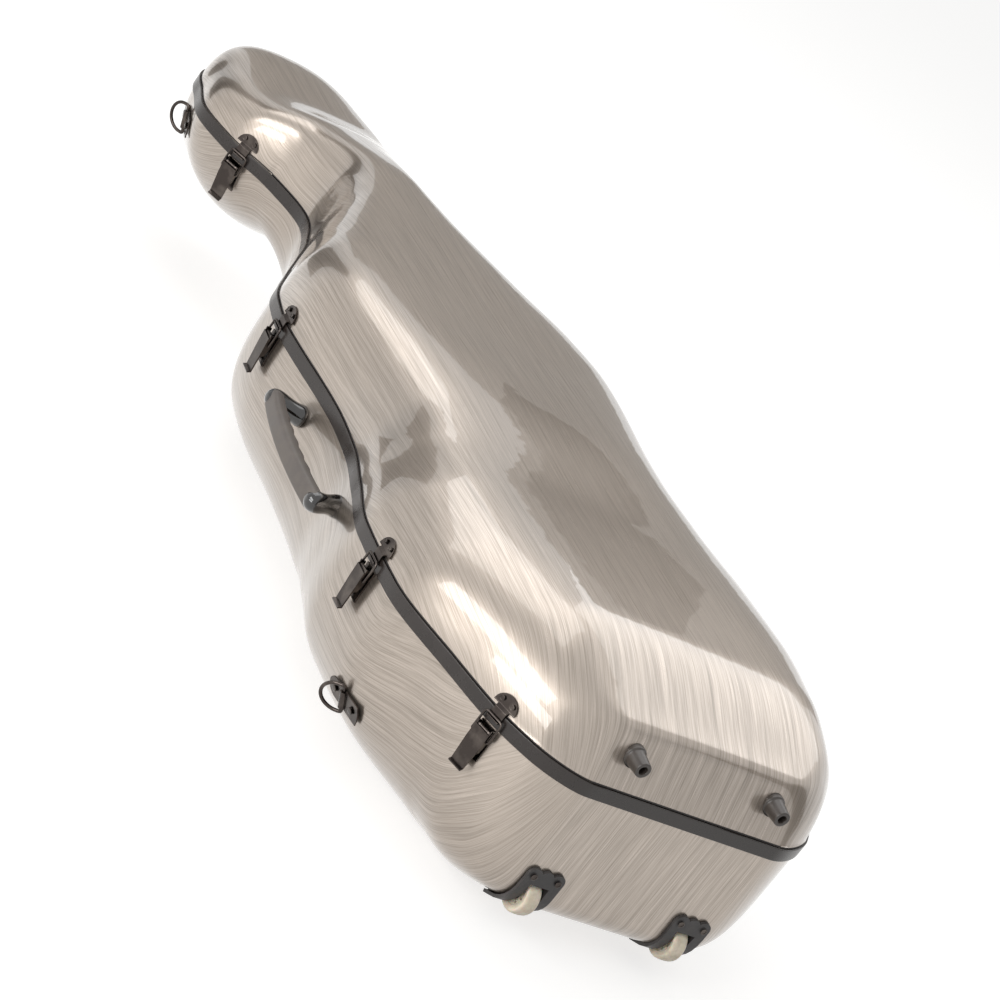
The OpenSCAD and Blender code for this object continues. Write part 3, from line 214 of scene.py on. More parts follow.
# For each half, along its length: the depth, the squareness of the section, how far its side walls aim
# past the flat, and the blend between them. Then how the flat, the corner and the end face go.
back_form = dict(
    depth=through([(0, 155), (130, 198), (690, 198), (800, 178), (900, 142), (1000, 106), (1100, 82),
                   (1215, 112), (1360, 102)]),
    square=through([(0, 7), (120, 3.2), (350, 3.5), (520, 3.3), (700, 2.6), (850, 3.4), (1000, 2.3),
                    (1180, 2), (1360, 2.6)]),
    rise=through([(0, 1), (1360, 1)]), blend=through([(0, 4), (1360, 4)]), flat=190, crown=0,
    corner=18, lean=0, way=-1,
)
lid_form = dict(
    depth=through([(0, 62), (150, 105), (350, 105), (530, 113), (700, 109), (1000, 108), (1120, 89),
                   (1215, 67), (1360, 70)]),
    square=through([(0, 3.3), (120, 2.35), (350, 2.2), (500, 2.5), (700, 3.8), (850, 3.1), (1000, 3.1),
                    (1180, 2.5), (1360, 2.4)]),
    rise=through([(0, 1.28), (120, 1.22), (350, 1.15), (500, 1.1), (700, 1.08), (1000, 1.05),
                  (1360, 1.02)]),
    blend=through([(0, 8), (120, 12), (350, 20), (500, 32), (700, 38), (1360, 38)]), flat=None, crown=0.05,
    corner=10, lean=0.36, way=1,
)
PLAN_CORNER, HEAD_ROUND = 34, 112
HEAD_PLAN, HEAD_DEPTH = 2.4, 4
LEAN_ENDS = 150


def corner_cut(r, s):
    """How far a corner of radius r at the base end draws the skin in."""
    return np.where(s >= r, 0, r - np.sqrt(np.maximum(0, r * r - (r - np.minimum(s, r)) ** 2)))


def head_fall(s, power):
    """The share of the full size that is left as the head rounds off to its tip."""
    u = np.clip((s - CASE_LEN + HEAD_ROUND) / HEAD_ROUND, 0, 1)
    return np.maximum(0, 1 - u**power) ** (1 / power)


def half_width(s, off=0):
    """Half the case's width at stations s, off mm inside its skin."""
    return (half_plan(s) - off) * head_fall(s, HEAD_PLAN) - corner_cut(PLAN_CORNER - min(off, 10), s)


def skin(form, s, angle, off=0):
    """Points of a half's skin, in mm in the part's frame, for stations s (column) and angles (row)."""
    power = form["square"](s)
    across = np.abs(np.sin(angle)) ** (2 / power)
    along = np.maximum(0, np.cos(angle)) ** (2 / power)
    depth = (form["depth"](s) - off) * head_fall(s, HEAD_DEPTH) - corner_cut(form["corner"], s)
    wall = depth * form["rise"](s) * along
    flat = (form["flat"] - off if form["flat"] else depth * (1 - form["crown"] * across**2)) + 0 * along
    blend = np.minimum(form["blend"](s), np.maximum(depth, 1) / 2)
    share = np.clip(0.5 + 0.5 * (flat - wall) / blend, 0, 1)
    z = np.maximum(0, flat * (1 - share) + wall * share - blend * share * (1 - share))
    lean = form["lean"] * z * np.maximum(0, 1 - s / LEAN_ENDS) ** 2
    y = off + s * (CASE_LEN - 2 * off) / CASE_LEN - BASE_AT + lean
    return np.stack([np.sign(angle) * half_width(s, off) * across + 0 * z, y + 0 * z, z], axis=-1)


END_ROWS = 13


def shell_rows(form, off, lift, columns):
    """Even rows of points round each section, with the flat of the base end filled in ahead of them.

    Also the flat plan of the film: where each point lay before the sheet was drawn down."""
    tip = CASE_LEN - HEAD_ROUND * (1 - np.arange(1, 33) / 32) ** 2
    s = np.concatenate([[0, 0.05, 0.2, 0.6, 1.2, 2.4, 4, 6, 8.5, 12], np.arange(16, 40, 3),
                        np.arange(42, CASE_LEN - HEAD_ROUND, 5.5), tip[:-1], [CASE_LEN - 0.02]])
    angle = np.linspace(-math.pi / 2, math.pi / 2, 1441)
    dense = skin(form, s[:, None], angle[None, :], off)
    rows = []
    for section in dense:
        run = np.concatenate([[0], np.cumsum(np.linalg.norm(np.diff(section, axis=0), axis=1))])
        even = np.linspace(0, run[-1], columns)
        rows.append(np.stack([np.interp(even, run, section[:, k]) for k in range(3)], axis=-1))
    rows = np.array(rows)
    rows[..., 2] = np.maximum(rows[..., 2], lift)
    slope = np.gradient(half_width(s), s)
    slope[0] = slope[1] * 4
    plan = np.stack([1 / np.sqrt(1 + slope**2), -slope / np.sqrt(1 + slope**2)], axis=-1)
    top = rows[..., 2].max(axis=1)
    drop = top[:, None] - rows[..., 2]
    film = np.stack([rows[..., 0] + np.sign(rows[..., 0]) * plan[:, :1] * drop,
                     rows[..., 1] + plan[:, 1:] * drop], axis=-1)
    shares = np.linspace(0, 1, END_ROWS + 1)[:-1, None]
    end = np.repeat(rows[:1], len(shares), axis=0)
    end[..., 0] *= shares
    end[..., 2] = lift + (rows[0, :, 2] - lift) * shares
    end[..., 1] = -BASE_AT + off + form["lean"] * end[..., 2]
    end_film = np.stack([end[..., 0], end[..., 1] - (top[0] - end[..., 2])], axis=-1)
    rows, film = np.concatenate([end, rows]), np.concatenate([end_film, film])
    rows[..., 2] = SEAM + form["way"] * rows[..., 2]
    return rows, film


def grid_piece(name, rows, coat, film=None, flip=False):
    """A smooth sheet through rows of points in mm."""
    count, columns = rows.shape[:2]
    start = np.arange(count * columns).reshape(count, columns)
    quads = np.stack([start[:-1, :-1], start[1:, :-1], start[1:, 1:], start[:-1, 1:]], axis=-1)
    quads = quads.reshape(-1, 4)
    if flip:
        quads = quads[:, ::-1]
    mesh = bpy.data.meshes.new(name)
    mesh.from_pydata((rows.reshape(-1, 3) * MM).tolist(), [], quads.tolist())
    if film is not None:
        layer = mesh.uv_layers.new(name="film")
        corners = np.zeros(len(mesh.loops), int)
        mesh.loops.foreach_get("vertex_index", corners)
        layer.data.foreach_set("uv", (film.reshape(-1, 2)[corners] * MM).ravel())
    mesh.polygons.foreach_set("use_smooth", [True] * len(mesh.polygons))
    mesh.materials.append(coat)
    piece = bpy.data.objects.new(name, mesh)
    bpy.context.collection.objects.link(piece)
    return piece


def settled(piece, *kinds):
    """Adds modifiers, each a type with its settings, and applies them to the piece's mesh."""
    for kind, settings in kinds:
        added = piece.modifiers.new(kind.lower(), kind)
        for key, value in settings.items():
            setattr(added, key, value)
    graph = bpy.context.evaluated_depsgraph_get()
    finished = bpy.data.meshes.new_from_object(piece.evaluated_get(graph))
    piece.modifiers.clear()
    piece.data = finished
    return piece


def cutter(low, high):
    """A box between two corners in mm, used only to cut an opening."""
    corners = [[(low, high)[k >> axis & 1][axis] * MM for axis in range(3)] for k in range(8)]
    mesh = bpy.data.meshes.new("cutter")
    mesh.from_pydata(corners, [], [(0, 2, 3, 1), (4, 5, 7, 6), (0, 1, 5, 4), (2, 6, 7, 3), (0, 4, 6, 2),
                                   (1, 3, 7, 5)])
    return bpy.data.objects.new("cutter", mesh)


def cut_out(piece, *tools):
    """Cuts each tool's shape out of the piece, and removes the tool."""
    for tool in tools:
        bpy.context.collection.objects.link(tool)
        settled(piece, ("BOOLEAN", dict(object=tool, operation="DIFFERENCE", solver="EXACT")))
        bpy.data.objects.remove(tool)
    return piece


# Brushed film under clear coat: fine lines about a millimetre apart and some centimetres long, soft
# metal gloss across them, and a hard lacquer gloss over all, a little wavy from forming.
# Real brushing is finer than shows from here, and is drawn as coarse as the picture has it. To a metre
# there are 820 fine lines across and 13 along (1.2 by 77 mm), 250 by 4 broad ones (4 by 250 mm), and
# 34 waves in the lacquer (29 mm).
FINE_LINES, BROAD_LINES, WAVES_PER_M = (820, 13, 1), (250, 4, 1), 34
brushed_film, tree = new_material("brushed_film_under_clear_coat")
sheet = node(tree, "ShaderNodeUVMap", uv_map="film")
line = node(tree, "ShaderNodeMapping", {"Vector": sheet.outputs[0], "Scale": FINE_LINES})
fine = node(tree, "ShaderNodeTexNoise", {
    "Vector": line.outputs[0], "Scale": 1, "Detail": 5, "Roughness": 0.65}, noise_dimensions="2D")
line = node(tree, "ShaderNodeMapping", {"Vector": sheet.outputs[0], "Scale": BROAD_LINES})
broad = node(tree, "ShaderNodeTexNoise", {
    "Vector": line.outputs[0], "Scale": 1, "Detail": 3, "Roughness": 0.6}, noise_dimensions="2D")
streak = node(tree, "ShaderNodeMix", {0: 0.35, 2: fine.outputs["Fac"], 3: broad.outputs["Fac"]})
tone = node(tree, "ShaderNodeValToRGB", {"Fac": streak.outputs[0]})
for stop, place, colour in zip(tone.color_ramp.elements, (0.34, 0.66), ("#8d8378", "#bcb0a5")):
    stop.position, stop.color = place, linear(colour)
rough = node(tree, "ShaderNodeMapRange", {"Value": streak.outputs[0], "From Min": 0.3, "From Max": 0.7,
                                          "To Min": 0.4, "To Max": 0.26})
groove = node(tree, "ShaderNodeBump", {"Strength": 0.12, "Distance": 0.0003, "Height": streak.outputs[0]})
place = node(tree, "ShaderNodeTexCoord")
wave = node(tree, "ShaderNodeTexNoise", {
    "Vector": place.outputs["Object"], "Scale": WAVES_PER_M, "Detail": 2})
lacquer = node(tree, "ShaderNodeBump", {"Strength": 0.1, "Distance": 0.0022, "Height": wave.outputs["Fac"]})
along = node(tree, "ShaderNodeTangent", direction_type="UV_MAP", uv_map="film")
surface = node(tree, "ShaderNodeBsdfPrincipled", {
    "Base Color": tone.outputs[0], "Metallic": 0.88, "Roughness": rough.outputs[0], "Anisotropic": 0.6,
    "Tangent": along.outputs[0], "Normal": groove.outputs[0], "Coat Weight": 1.0, "Coat Roughness": 0.02,
    "Coat IOR": 1.5, "Coat Normal": lacquer.outputs[0],
})
node(tree, "ShaderNodeOutputMaterial", {"Surface": surface.outputs[0]})

WHEEL_X, WELL_HALF, WELL_TOP, WELL_DEEP = 98, 14, 69, 37


def wheel_wells(spare=0):
    """Cutters for the two rooms in the base end that the wheels turn in."""
    return [cutter((x - WELL_HALF - spare, -BASE_AT - 20, -20),
                   (x + WELL_HALF + spare, -BASE_AT + WELL_DEEP + spare, WELL_TOP + spare))
            for x in (-WHEEL_X, WHEEL_X)]


FILM_COLUMNS = 161
for half, form, lift in (("back", back_form, 2.5), ("lid", lid_form, 1.9)):
    points, film = shell_rows(form, 0, lift, FILM_COLUMNS)
    piece = grid_piece(half + "_film", points, brushed_film, film, flip=half == "lid")
    settled(piece, ("WELD", dict(merge_threshold=0.00001)),
            ("SOLIDIFY", dict(thickness=SHELL_WALL * MM, offset=-1, use_even_offset=False)))
    # At both ends of the lid's flat base end, a few points of the wall's inner face land outside it
    for point in piece.data.vertices:
        face_y = (form["lean"] * abs(point.co.z / MM - SEAM) - BASE_AT) * MM
        if point.co.y < face_y - 0.0005:
            point.co.y = face_y + SHELL_WALL * MM
    piece.data.set_sharp_from_angle(angle=math.radians(50))
    if half == "back":
        cut_out(piece, *wheel_wells())
    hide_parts(half + "_shell")
    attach(piece, "case_back" if half == "back" else "lid")


# Rim band and gasket. An extruded black plastic valance caps the edge of the back half all round,
# and a thin rubber seal on the lid meets it. Both follow the seam line.
BASE_STEPS = 24


def seam_line():
    """Points all round the seam, and the direction straight out of the case at each."""
    corner = PLAN_CORNER * (1 - np.cos(np.linspace(0, math.pi / 2, 16)))
    tip = CASE_LEN - HEAD_ROUND * (1 - np.linspace(0, 1, 60)[1:-1]) ** HEAD_PLAN
    s = np.concatenate([corner, np.arange(PLAN_CORNER + 4, CASE_LEN - HEAD_ROUND, 4), tip])
    side = np.stack([half_width(s), s - BASE_AT], axis=-1)
    across = np.linspace(-side[0, 0], side[0, 0], BASE_STEPS)[1:-1]
    base_line = np.stack([across, np.full(len(across), -BASE_AT)], axis=-1)
    line = np.concatenate([base_line, side, [[0, CASE_LEN - BASE_AT]], side[::-1] * [-1, 1]])
    ahead = np.roll(line, -1, axis=0) - np.roll(line, 1, axis=0)
    ahead /= np.linalg.norm(ahead, axis=1)[:, None]
    return line, np.stack([ahead[:, 1], -ahead[:, 0]], axis=-1)


def arc(before, here, after, radius, steps):
    """Points that turn a corner on an arc, which takes up at most half of each side."""
    a, b = before - here, after - here
    reach = min(radius, np.linalg.norm(a) * 0.49, np.linalg.norm(b) * 0.49)
    a, b = here + a / np.linalg.norm(a) * reach, here + b / np.linalg.norm(b) * reach
    return [(1 - t) ** 2 * a + 2 * t * (1 - t) * here + t**2 * b for t in np.linspace(0, 1, steps + 1)]


def rounded(corners, radius, steps=4):
    """The corners of a closed outline, each replaced by an arc."""
    corners = np.array(corners, float)
    after = np.roll(corners, -1, axis=0)
    return np.concatenate([arc(corners[k - 1], corners[k], after[k], radius, steps)
                           for k in range(len(corners))])


def seam_ring(name, section, radius, coat):
    """A profile run all round the seam. Its section gives how far out and how high each corner is."""
    line, out = seam_line()
    rows = np.array([np.column_stack([line + out * off, np.full(len(line), z)])
                     for off, z in rounded(section, radius)])
    rows = np.concatenate([rows, rows[:1]])
    rows = np.concatenate([rows, rows[:, :1]], axis=1)
    piece = grid_piece(name, rows, coat, flip=True)
    return settled(piece, ("WELD", dict(merge_threshold=0.00001)), ("WEIGHTED_NORMAL", dict(weight=80)))


MARKS_PER_M = 45


def grained(name, colour, worn, roughness, grain_mm, depth_mm, **extra):
    """A moulded surface: a fine grain, and faint handling marks that are duller or shinier."""
    made, tree = new_material(name)
    place = node(tree, "ShaderNodeTexCoord")
    grain = node(tree, "ShaderNodeTexNoise", {
        "Vector": place.outputs["Object"], "Scale": 1000 / grain_mm, "Detail": 3})
    marks = node(tree, "ShaderNodeTexNoise", {
        "Vector": place.outputs["Object"], "Scale": MARKS_PER_M, "Detail": 6, "Roughness": 0.7})
    wear = node(tree, "ShaderNodeMapRange", {
        "Value": marks.outputs["Fac"], "From Min": 0.42, "From Max": 0.68})
    tone = node(tree, "ShaderNodeMix", {0: wear.outputs[0], 6: linear(colour), 7: linear(worn)},
                data_type="RGBA")
    gloss = node(tree, "ShaderNodeMapRange", {
        "Value": marks.outputs["Fac"], "From Min": 0.3, "From Max": 0.7,
        "To Min": roughness * 0.85, "To Max": min(1, roughness * 1.2)})
    bump = node(tree, "ShaderNodeBump", {
        "Strength": 0.4, "Distance": depth_mm * MM, "Height": grain.outputs["Fac"]})
    surface = node(tree, "ShaderNodeBsdfPrincipled", {
        "Base Color": tone.outputs[2], "Roughness": gloss.outputs[0], "Normal": bump.outputs[0], **extra})
    node(tree, "ShaderNodeOutputMaterial", {"Surface": surface.outputs[0]})
    return made


# Extruded PVC: a satin black that goes grey where light grazes it, with very fine drawing grain
band_plastic = grained("extruded_pvc_satin_black", "#2a2421", "#2f2926", 0.27, 1.1, 0.012)
# Moulded seal rubber: matt and darker than the band, so that the seam reads as a line
seal_rubber = grained("moulded_seal_rubber", "#211e1d", "#2b2726", 0.6, 0.8, 0.05)

BAND_H, BAND_T, FLANGE, BAND_CLEAR = 15.5, 2.4, 2.5, 0.06
band = seam_ring("rim_band", [
    (BAND_CLEAR, SEAM - BAND_H), (BAND_T, SEAM - BAND_H), (BAND_T, SEAM), (-SHELL_WALL, SEAM),
    (-SHELL_WALL, SEAM - FLANGE), (BAND_CLEAR, SEAM - FLANGE)], 0.9, band_plastic)
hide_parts("back_rim_band")
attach(band, "case_back")

GASKET_H, GASKET_OUT, GASKET_IN, SEAM_GAP = 1.6, 0.4, -SHELL_WALL - 3, 0.3
low = SEAM + SEAM_GAP
seal = seam_ring("lid_seal", [
    (GASKET_IN, low), (GASKET_OUT, low), (GASKET_OUT, low + GASKET_H), (GASKET_IN, low + GASKET_H)],
    0.6, seal_rubber)
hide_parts("lid_gasket")
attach(seal, "lid")


# Linings. Each half is lined with foam under charcoal plush. It is glued in, and its pile is brushed
# along the case.
STROKES_PER_M, PILE_DEEP = 14, 0.8


def plush(name, colour, light, fibre_mm):
    """Short pile: dark straight on, paler where it is seen edge on or brushed the other way."""
    made, tree = new_material(name)
    place = node(tree, "ShaderNodeTexCoord")
    pile = node(tree, "ShaderNodeTexNoise", {
        "Vector": place.outputs["Object"], "Scale": 1000 / fibre_mm, "Detail": 2})
    brushed = node(tree, "ShaderNodeTexNoise", {
        "Vector": place.outputs["Object"], "Scale": STROKES_PER_M, "Detail": 4, "Distortion": 0.6})
    both = node(tree, "ShaderNodeMath", {0: pile.outputs["Fac"], 1: brushed.outputs["Fac"]},
                operation="MULTIPLY")
    shade = node(tree, "ShaderNodeMapRange", {"Value": both.outputs[0], "From Min": 0.12, "From Max": 0.4})
    tone = node(tree, "ShaderNodeMix", {0: shade.outputs[0], 6: linear(colour), 7: linear(light)},
                data_type="RGBA")
    bump = node(tree, "ShaderNodeBump", {
        "Strength": 0.7, "Distance": PILE_DEEP * MM, "Height": pile.outputs["Fac"]})
    surface = node(tree, "ShaderNodeBsdfPrincipled", {
        "Base Color": tone.outputs[2], "Roughness": 0.9, "Sheen Weight": 0.5, "Sheen Roughness": 0.4,
        "Sheen Tint": linear("#b9b9c4"), "Normal": bump.outputs[0]})
    node(tree, "ShaderNodeOutputMaterial", {"Surface": surface.outputs[0]})
    return made


# Knitted plush: charcoal, with a soft pale edge. Its tufts are drawn 1.6 mm wide, so that they show.
lining_plush = plush("knitted_plush_charcoal", "#26262b", "#3d3d45", 1.6)
LINING_OUT, LINING_LIFT, LINING_T, LINING_COLUMNS = 4.5, 5.2, 14, 81
for half, form, body in (("back", back_form, "case_back"), ("lid", lid_form, "lid")):
    points, film = shell_rows(form, LINING_OUT, LINING_LIFT, LINING_COLUMNS)
    piece = grid_piece(half + "_lining_plush", points[::2], lining_plush, flip=half == "lid")
    settled(piece, ("WELD", dict(merge_threshold=0.00001)),
            ("SOLIDIFY", dict(thickness=LINING_T * MM, offset=-1, use_even_offset=False)))
    if half == "back":
        cut_out(piece, *wheel_wells(spare=3))
    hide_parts(half + "_lining")
    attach(piece, body)


# Pads and cradle. Cut foam blocks in a woven cloth hold the cello at its bouts, its end and its neck.
# They are glued to the lining.
def cad_copy(name, *nodes):
    """A new object with the solids of CAD nodes, welded, with their flat faces whole again."""
    shape = bmesh.new()
    for source in nodes:
        shape.from_mesh(frame["nodes"][source].data)
    bmesh.ops.remove_doubles(shape, verts=shape.verts, dist=0.00001)
    bmesh.ops.dissolve_limit(shape, angle_limit=math.radians(0.6), verts=shape.verts, edges=shape.edges)
    mesh = bpy.data.meshes.new(name)
    shape.to_mesh(mesh)
    shape.free()
    made = bpy.data.objects.new(name, mesh)
    bpy.context.collection.objects.link(made)
    return made


CLOTH_STEPS = 12


def upholstered(name, nodes, coat, body, puff=1.5):
    """A block of foam in cloth: its edges go round, and its faces crown by up to puff mm between them."""
    piece = cad_copy(name, *nodes)
    settled(piece, ("REMESH", dict(mode="VOXEL", voxel_size=0.004)),
            ("SMOOTH", dict(factor=0.6, iterations=6)))
    rest = np.empty(len(piece.data.vertices) * 3)
    piece.data.vertices.foreach_get("co", rest)
    rest = rest.reshape(-1, 3)
    cloth = piece.modifiers.new("cloth", "CLOTH")
    cloth.settings.use_pressure = True
    cloth.settings.uniform_pressure_force = 4
    cloth.settings.effector_weights.gravity = 0
    cloth.settings.tension_stiffness = 30
    for step in range(1, CLOTH_STEPS + 1):
        bpy.context.scene.frame_set(step)
    graph = bpy.context.evaluated_depsgraph_get()
    blown = np.empty(len(rest) * 3)
    piece.evaluated_get(graph).data.vertices.foreach_get("co", blown)
    bpy.context.scene.frame_set(1)
    piece.modifiers.clear()
    move = blown.reshape(-1, 3) - rest
    reach = np.linalg.norm(move, axis=1)[:, None]
    move *= np.minimum(1, puff * MM / np.maximum(reach, 1e-9))
    piece.data.vertices.foreach_set("co", (rest + move).ravel())
    settled(piece, ("SUBSURF", dict(levels=1, render_levels=1)))
    piece.data.materials.clear()
    piece.data.materials.append(coat)
    piece.data.polygons.foreach_set("use_smooth", [True] * len(piece.data.polygons))
    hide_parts(*nodes)
    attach(piece, body)
    return piece


# Woven pad cloth: a paler grey than the lining, with a slub that is drawn 2.2 mm wide, so that it shows
pad_cloth = plush("woven_pad_cloth", "#34343c", "#50505a", 2.2)
upholstered("bout_cushions", ["bout_pads"], pad_cloth, "case_back")
upholstered("base_cushion", ["base_pad"], pad_cloth, "case_back")
upholstered("neck_rest", ["neck_cradle"], pad_cloth, "case_back")

# Neck strap. A strip of woven polypropylene webbing crosses the cradle and holds the cello's neck
# down. It shows a fine rib both ways, which is drawn about 3 mm wide, so that it can be seen.
webbing, tree = new_material("woven_polypropylene_webbing")
place = node(tree, "ShaderNodeTexCoord")
rib = node(tree, "ShaderNodeTexWave", {
    "Vector": place.outputs["Object"], "Scale": 120, "Distortion": 0.3}, bands_direction="Y")
cross = node(tree, "ShaderNodeTexWave", {
    "Vector": place.outputs["Object"], "Scale": 90, "Distortion": 0.3}, bands_direction="X")
weave = node(tree, "ShaderNodeMath", {0: rib.outputs["Fac"], 1: cross.outputs["Fac"]},
             operation="MULTIPLY")
tone = node(tree, "ShaderNodeMix", {0: weave.outputs[0], 6: linear("#17171a"), 7: linear("#34343a")},
            data_type="RGBA")
bump = node(tree, "ShaderNodeBump", {"Strength": 0.6, "Distance": 0.0005, "Height": weave.outputs[0]})
surface = node(tree, "ShaderNodeBsdfPrincipled", {
    "Base Color": tone.outputs[2], "Roughness": 0.55, "Sheen Weight": 0.2, "Normal": bump.outputs[0]})
node(tree, "ShaderNodeOutputMaterial", {"Surface": surface.outputs[0]})


def eased(name, nodes, edge_mm, coat, body, segments=2):
    """CAD solids with their sharp edges broken, as stamping, moulding and polishing leave them."""
    piece = cad_copy(name, *nodes)
    piece.data.polygons.foreach_set("use_smooth", [True] * len(piece.data.polygons))
    piece.data.materials.clear()
    piece.data.materials.append(coat)
    settled(piece, ("BEVEL", dict(width=edge_mm * MM, segments=segments, limit_method="ANGLE",
                                  angle_limit=math.radians(30), harden_normals=False)),
            ("WEIGHTED_NORMAL", dict(weight=60, keep_sharp=True)))
    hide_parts(*nodes)
    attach(piece, body)
    return piece


eased("neck_webbing", ["neck_strap"], 0.8, webbing, "case_back")


# Draw latches. Each is stamped from steel sheet plated black nickel: a base with two ears riveted to
# the back half, a folded lever on a pin, and a sprung wire bail that hooks on the lid's keeper.
RUBS_PER_M, PATCHES_PER_M = 160, 60


def plated(name, colour, worn, roughness):
    """Plated steel: a dark gloss broken by fine rub marks."""
    made, tree = new_material(name)
    place = node(tree, "ShaderNodeTexCoord")
    rub = node(tree, "ShaderNodeTexNoise", {
        "Vector": place.outputs["Object"], "Scale": RUBS_PER_M, "Detail": 6, "Roughness": 0.7,
        "Distortion": 0.4})
    patch = node(tree, "ShaderNodeTexNoise", {
        "Vector": place.outputs["Object"], "Scale": PATCHES_PER_M, "Detail": 3})
    wear = node(tree, "ShaderNodeMapRange", {
        "Value": patch.outputs["Fac"], "From Min": 0.45, "From Max": 0.7})
    tone = node(tree, "ShaderNodeMix", {0: wear.outputs[0], 6: linear(colour), 7: linear(worn)},
                data_type="RGBA")
    gloss = node(tree, "ShaderNodeMapRange", {
        "Value": rub.outputs["Fac"], "From Min": 0.3, "From Max": 0.7,
        "To Min": roughness * 0.7, "To Max": roughness * 1.35})
    bump = node(tree, "ShaderNodeBump", {
        "Strength": 0.15, "Distance": 0.0002, "Height": rub.outputs["Fac"]})
    surface = node(tree, "ShaderNodeBsdfPrincipled", {
        "Base Color": tone.outputs[2], "Metallic": 1.0, "Roughness": gloss.outputs[0],
        "Normal": bump.outputs[0]})
    node(tree, "ShaderNodeOutputMaterial", {"Surface": surface.outputs[0]})
    return made


# Black nickel plate: a warm dark grey mirror, softened by use
black_nickel = plated("black_nickel_plated_steel", "#453f3c", "#5f5853", 0.21)
eased("latch_base_plates", ["latch_bases"], 0.45, black_nickel, "case_back")
eased("latch_keeper_plates", ["latch_keepers"], 0.45, black_nickel, "lid")
for k in range(1, 5):
    eased(f"latch_lever_plate_{k}", [f"latch_lever_{k}"], 0.5, black_nickel,
          f"latch_lever_body_{k}")


def tube(name, path, radius, coat, closed=False, sides=18):
    """A round bar along a path in mm. Its radius may change from point to point."""
    path = np.array(path, float)
    radius = np.broadcast_to(np.array(radius, float), len(path))
    if closed:
        ahead = np.roll(path, -1, axis=0) - np.roll(path, 1, axis=0)
    else:
        ahead = np.gradient(path, axis=0)
    ahead /= np.linalg.norm(ahead, axis=1)[:, None]
    side = np.cross(ahead[0], (0.3, 0.2, 1.0))
    around = np.linspace(0, 2 * math.pi, sides + 1)[:, None]
    rows = []
    for point, forward, r in zip(path, ahead, radius):
        side = side - forward * side.dot(forward)
        side /= np.linalg.norm(side)
        rows.append(point + r * (np.cos(around) * side + np.sin(around) * np.cross(forward, side)))
    if closed:
        rows.append(rows[0])
    else:
        rows = [np.repeat(path[:1], sides + 1, axis=0)] + rows + [np.repeat(path[-1:], sides + 1, axis=0)]
    piece = grid_piece(name, np.array(rows), coat, flip=True)
    return settled(piece, ("WELD", dict(merge_threshold=0.000005)))


def filleted(points, radius, steps=6, closed=False):
    """A path whose corners are turned on an arc."""
    points = np.array(points, float)
    if closed:
        return rounded(points, radius, steps)
    turns = [arc(*points[k - 1 : k + 2], radius, steps) for k in range(1, len(points) - 1)]
    return np.concatenate([points[:1], *turns, points[-1:]])


def joint_frame(joint_name, node_name):
    """Where a swinging wire turns: its centre and axis, and the way that it reaches, in mm."""
    joint = next(j for j in frame["joints"] if j["name"] == joint_name)
    centre, axis = np.array(joint["pos_m"]) / MM, np.array(joint["axis"], float)
    points = np.array([v.co for v in frame["nodes"][node_name].data.vertices]) / MM - centre
    flat = points - points.dot(axis)[:, None] * axis
    far = np.linalg.norm(flat, axis=1)
    reach = flat[far > far.max() - 1].mean(axis=0)
    return centre, axis, reach / np.linalg.norm(reach), far.max()


# The bail: a bent wire whose two short ends turn in the lever, and whose far side lies on the keeper
WIRE, BAIL_HALF, STUB = 2.6, 11.7, 8.2
for k in range(1, 5):
    centre, axis, reach, far = joint_frame(f"latch_bail_{k}_pivot", f"latch_bail_{k}")
    top = far - WIRE / 2
    corners = [(-STUB, 0), (-BAIL_HALF, 0), (-BAIL_HALF, top), (BAIL_HALF, top), (BAIL_HALF, 0), (STUB, 0)]
    path = filleted([centre + axis * a + reach * b for a, b in corners], 4)
    bail = tube(f"latch_wire_{k}", path, WIRE / 2, black_nickel)
    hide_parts(f"latch_bail_{k}")
    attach(bail, f"latch_bail_body_{k}")


# Small fixings. Pan-head screws hold the keepers, the wheel housings and the feet, and rivets hold the
# latches, the hinges and the strap brackets. All are turned or rolled, and stand where their solids do.
def fixing_places(node_name):
    """The middle of the top of each fixing's head, and the way that it points, in mm."""
    shape = bmesh.new()
    shape.from_mesh(frame["nodes"][node_name].data)
    bmesh.ops.remove_doubles(shape, verts=shape.verts, dist=0.00001)
    shape.faces.index_update()
    places, met = [], set()
    for first in shape.verts:
        if first in met:
            continue
        met.add(first)
        island, edge = [], [first]
        while edge:
            vert = edge.pop()
            island.append(vert)
            for link in vert.link_edges:
                other = link.other_vert(vert)
                if other not in met:
                    met.add(other)
                    edge.append(other)
        # A shank can have tied axes, so its faces are summed in one order, and the tie falls the same way.
        faces, spread = {f for v in island for f in v.link_faces}, np.zeros((3, 3))
        for face in sorted(faces, key=lambda f: (f.calc_area(), f.index)):
            normal = np.array(face.normal)
            spread += face.calc_area() * np.outer(normal, normal)
        axis = np.linalg.eigh(spread)[1][:, 2]
        points = np.array([v.co for v in island]) / MM
        middle = points.mean(axis=0)
        along = (points - middle).dot(axis)
        off = np.linalg.norm(points - middle - along[:, None] * axis, axis=1)
        if along[off > off.max() - 0.1].mean() < (along.max() + along.min()) / 2:
            axis, along = -axis, -along
        places.append((middle + axis * along.max(), axis, along.max() - along.min()))
    shape.free()
    return places


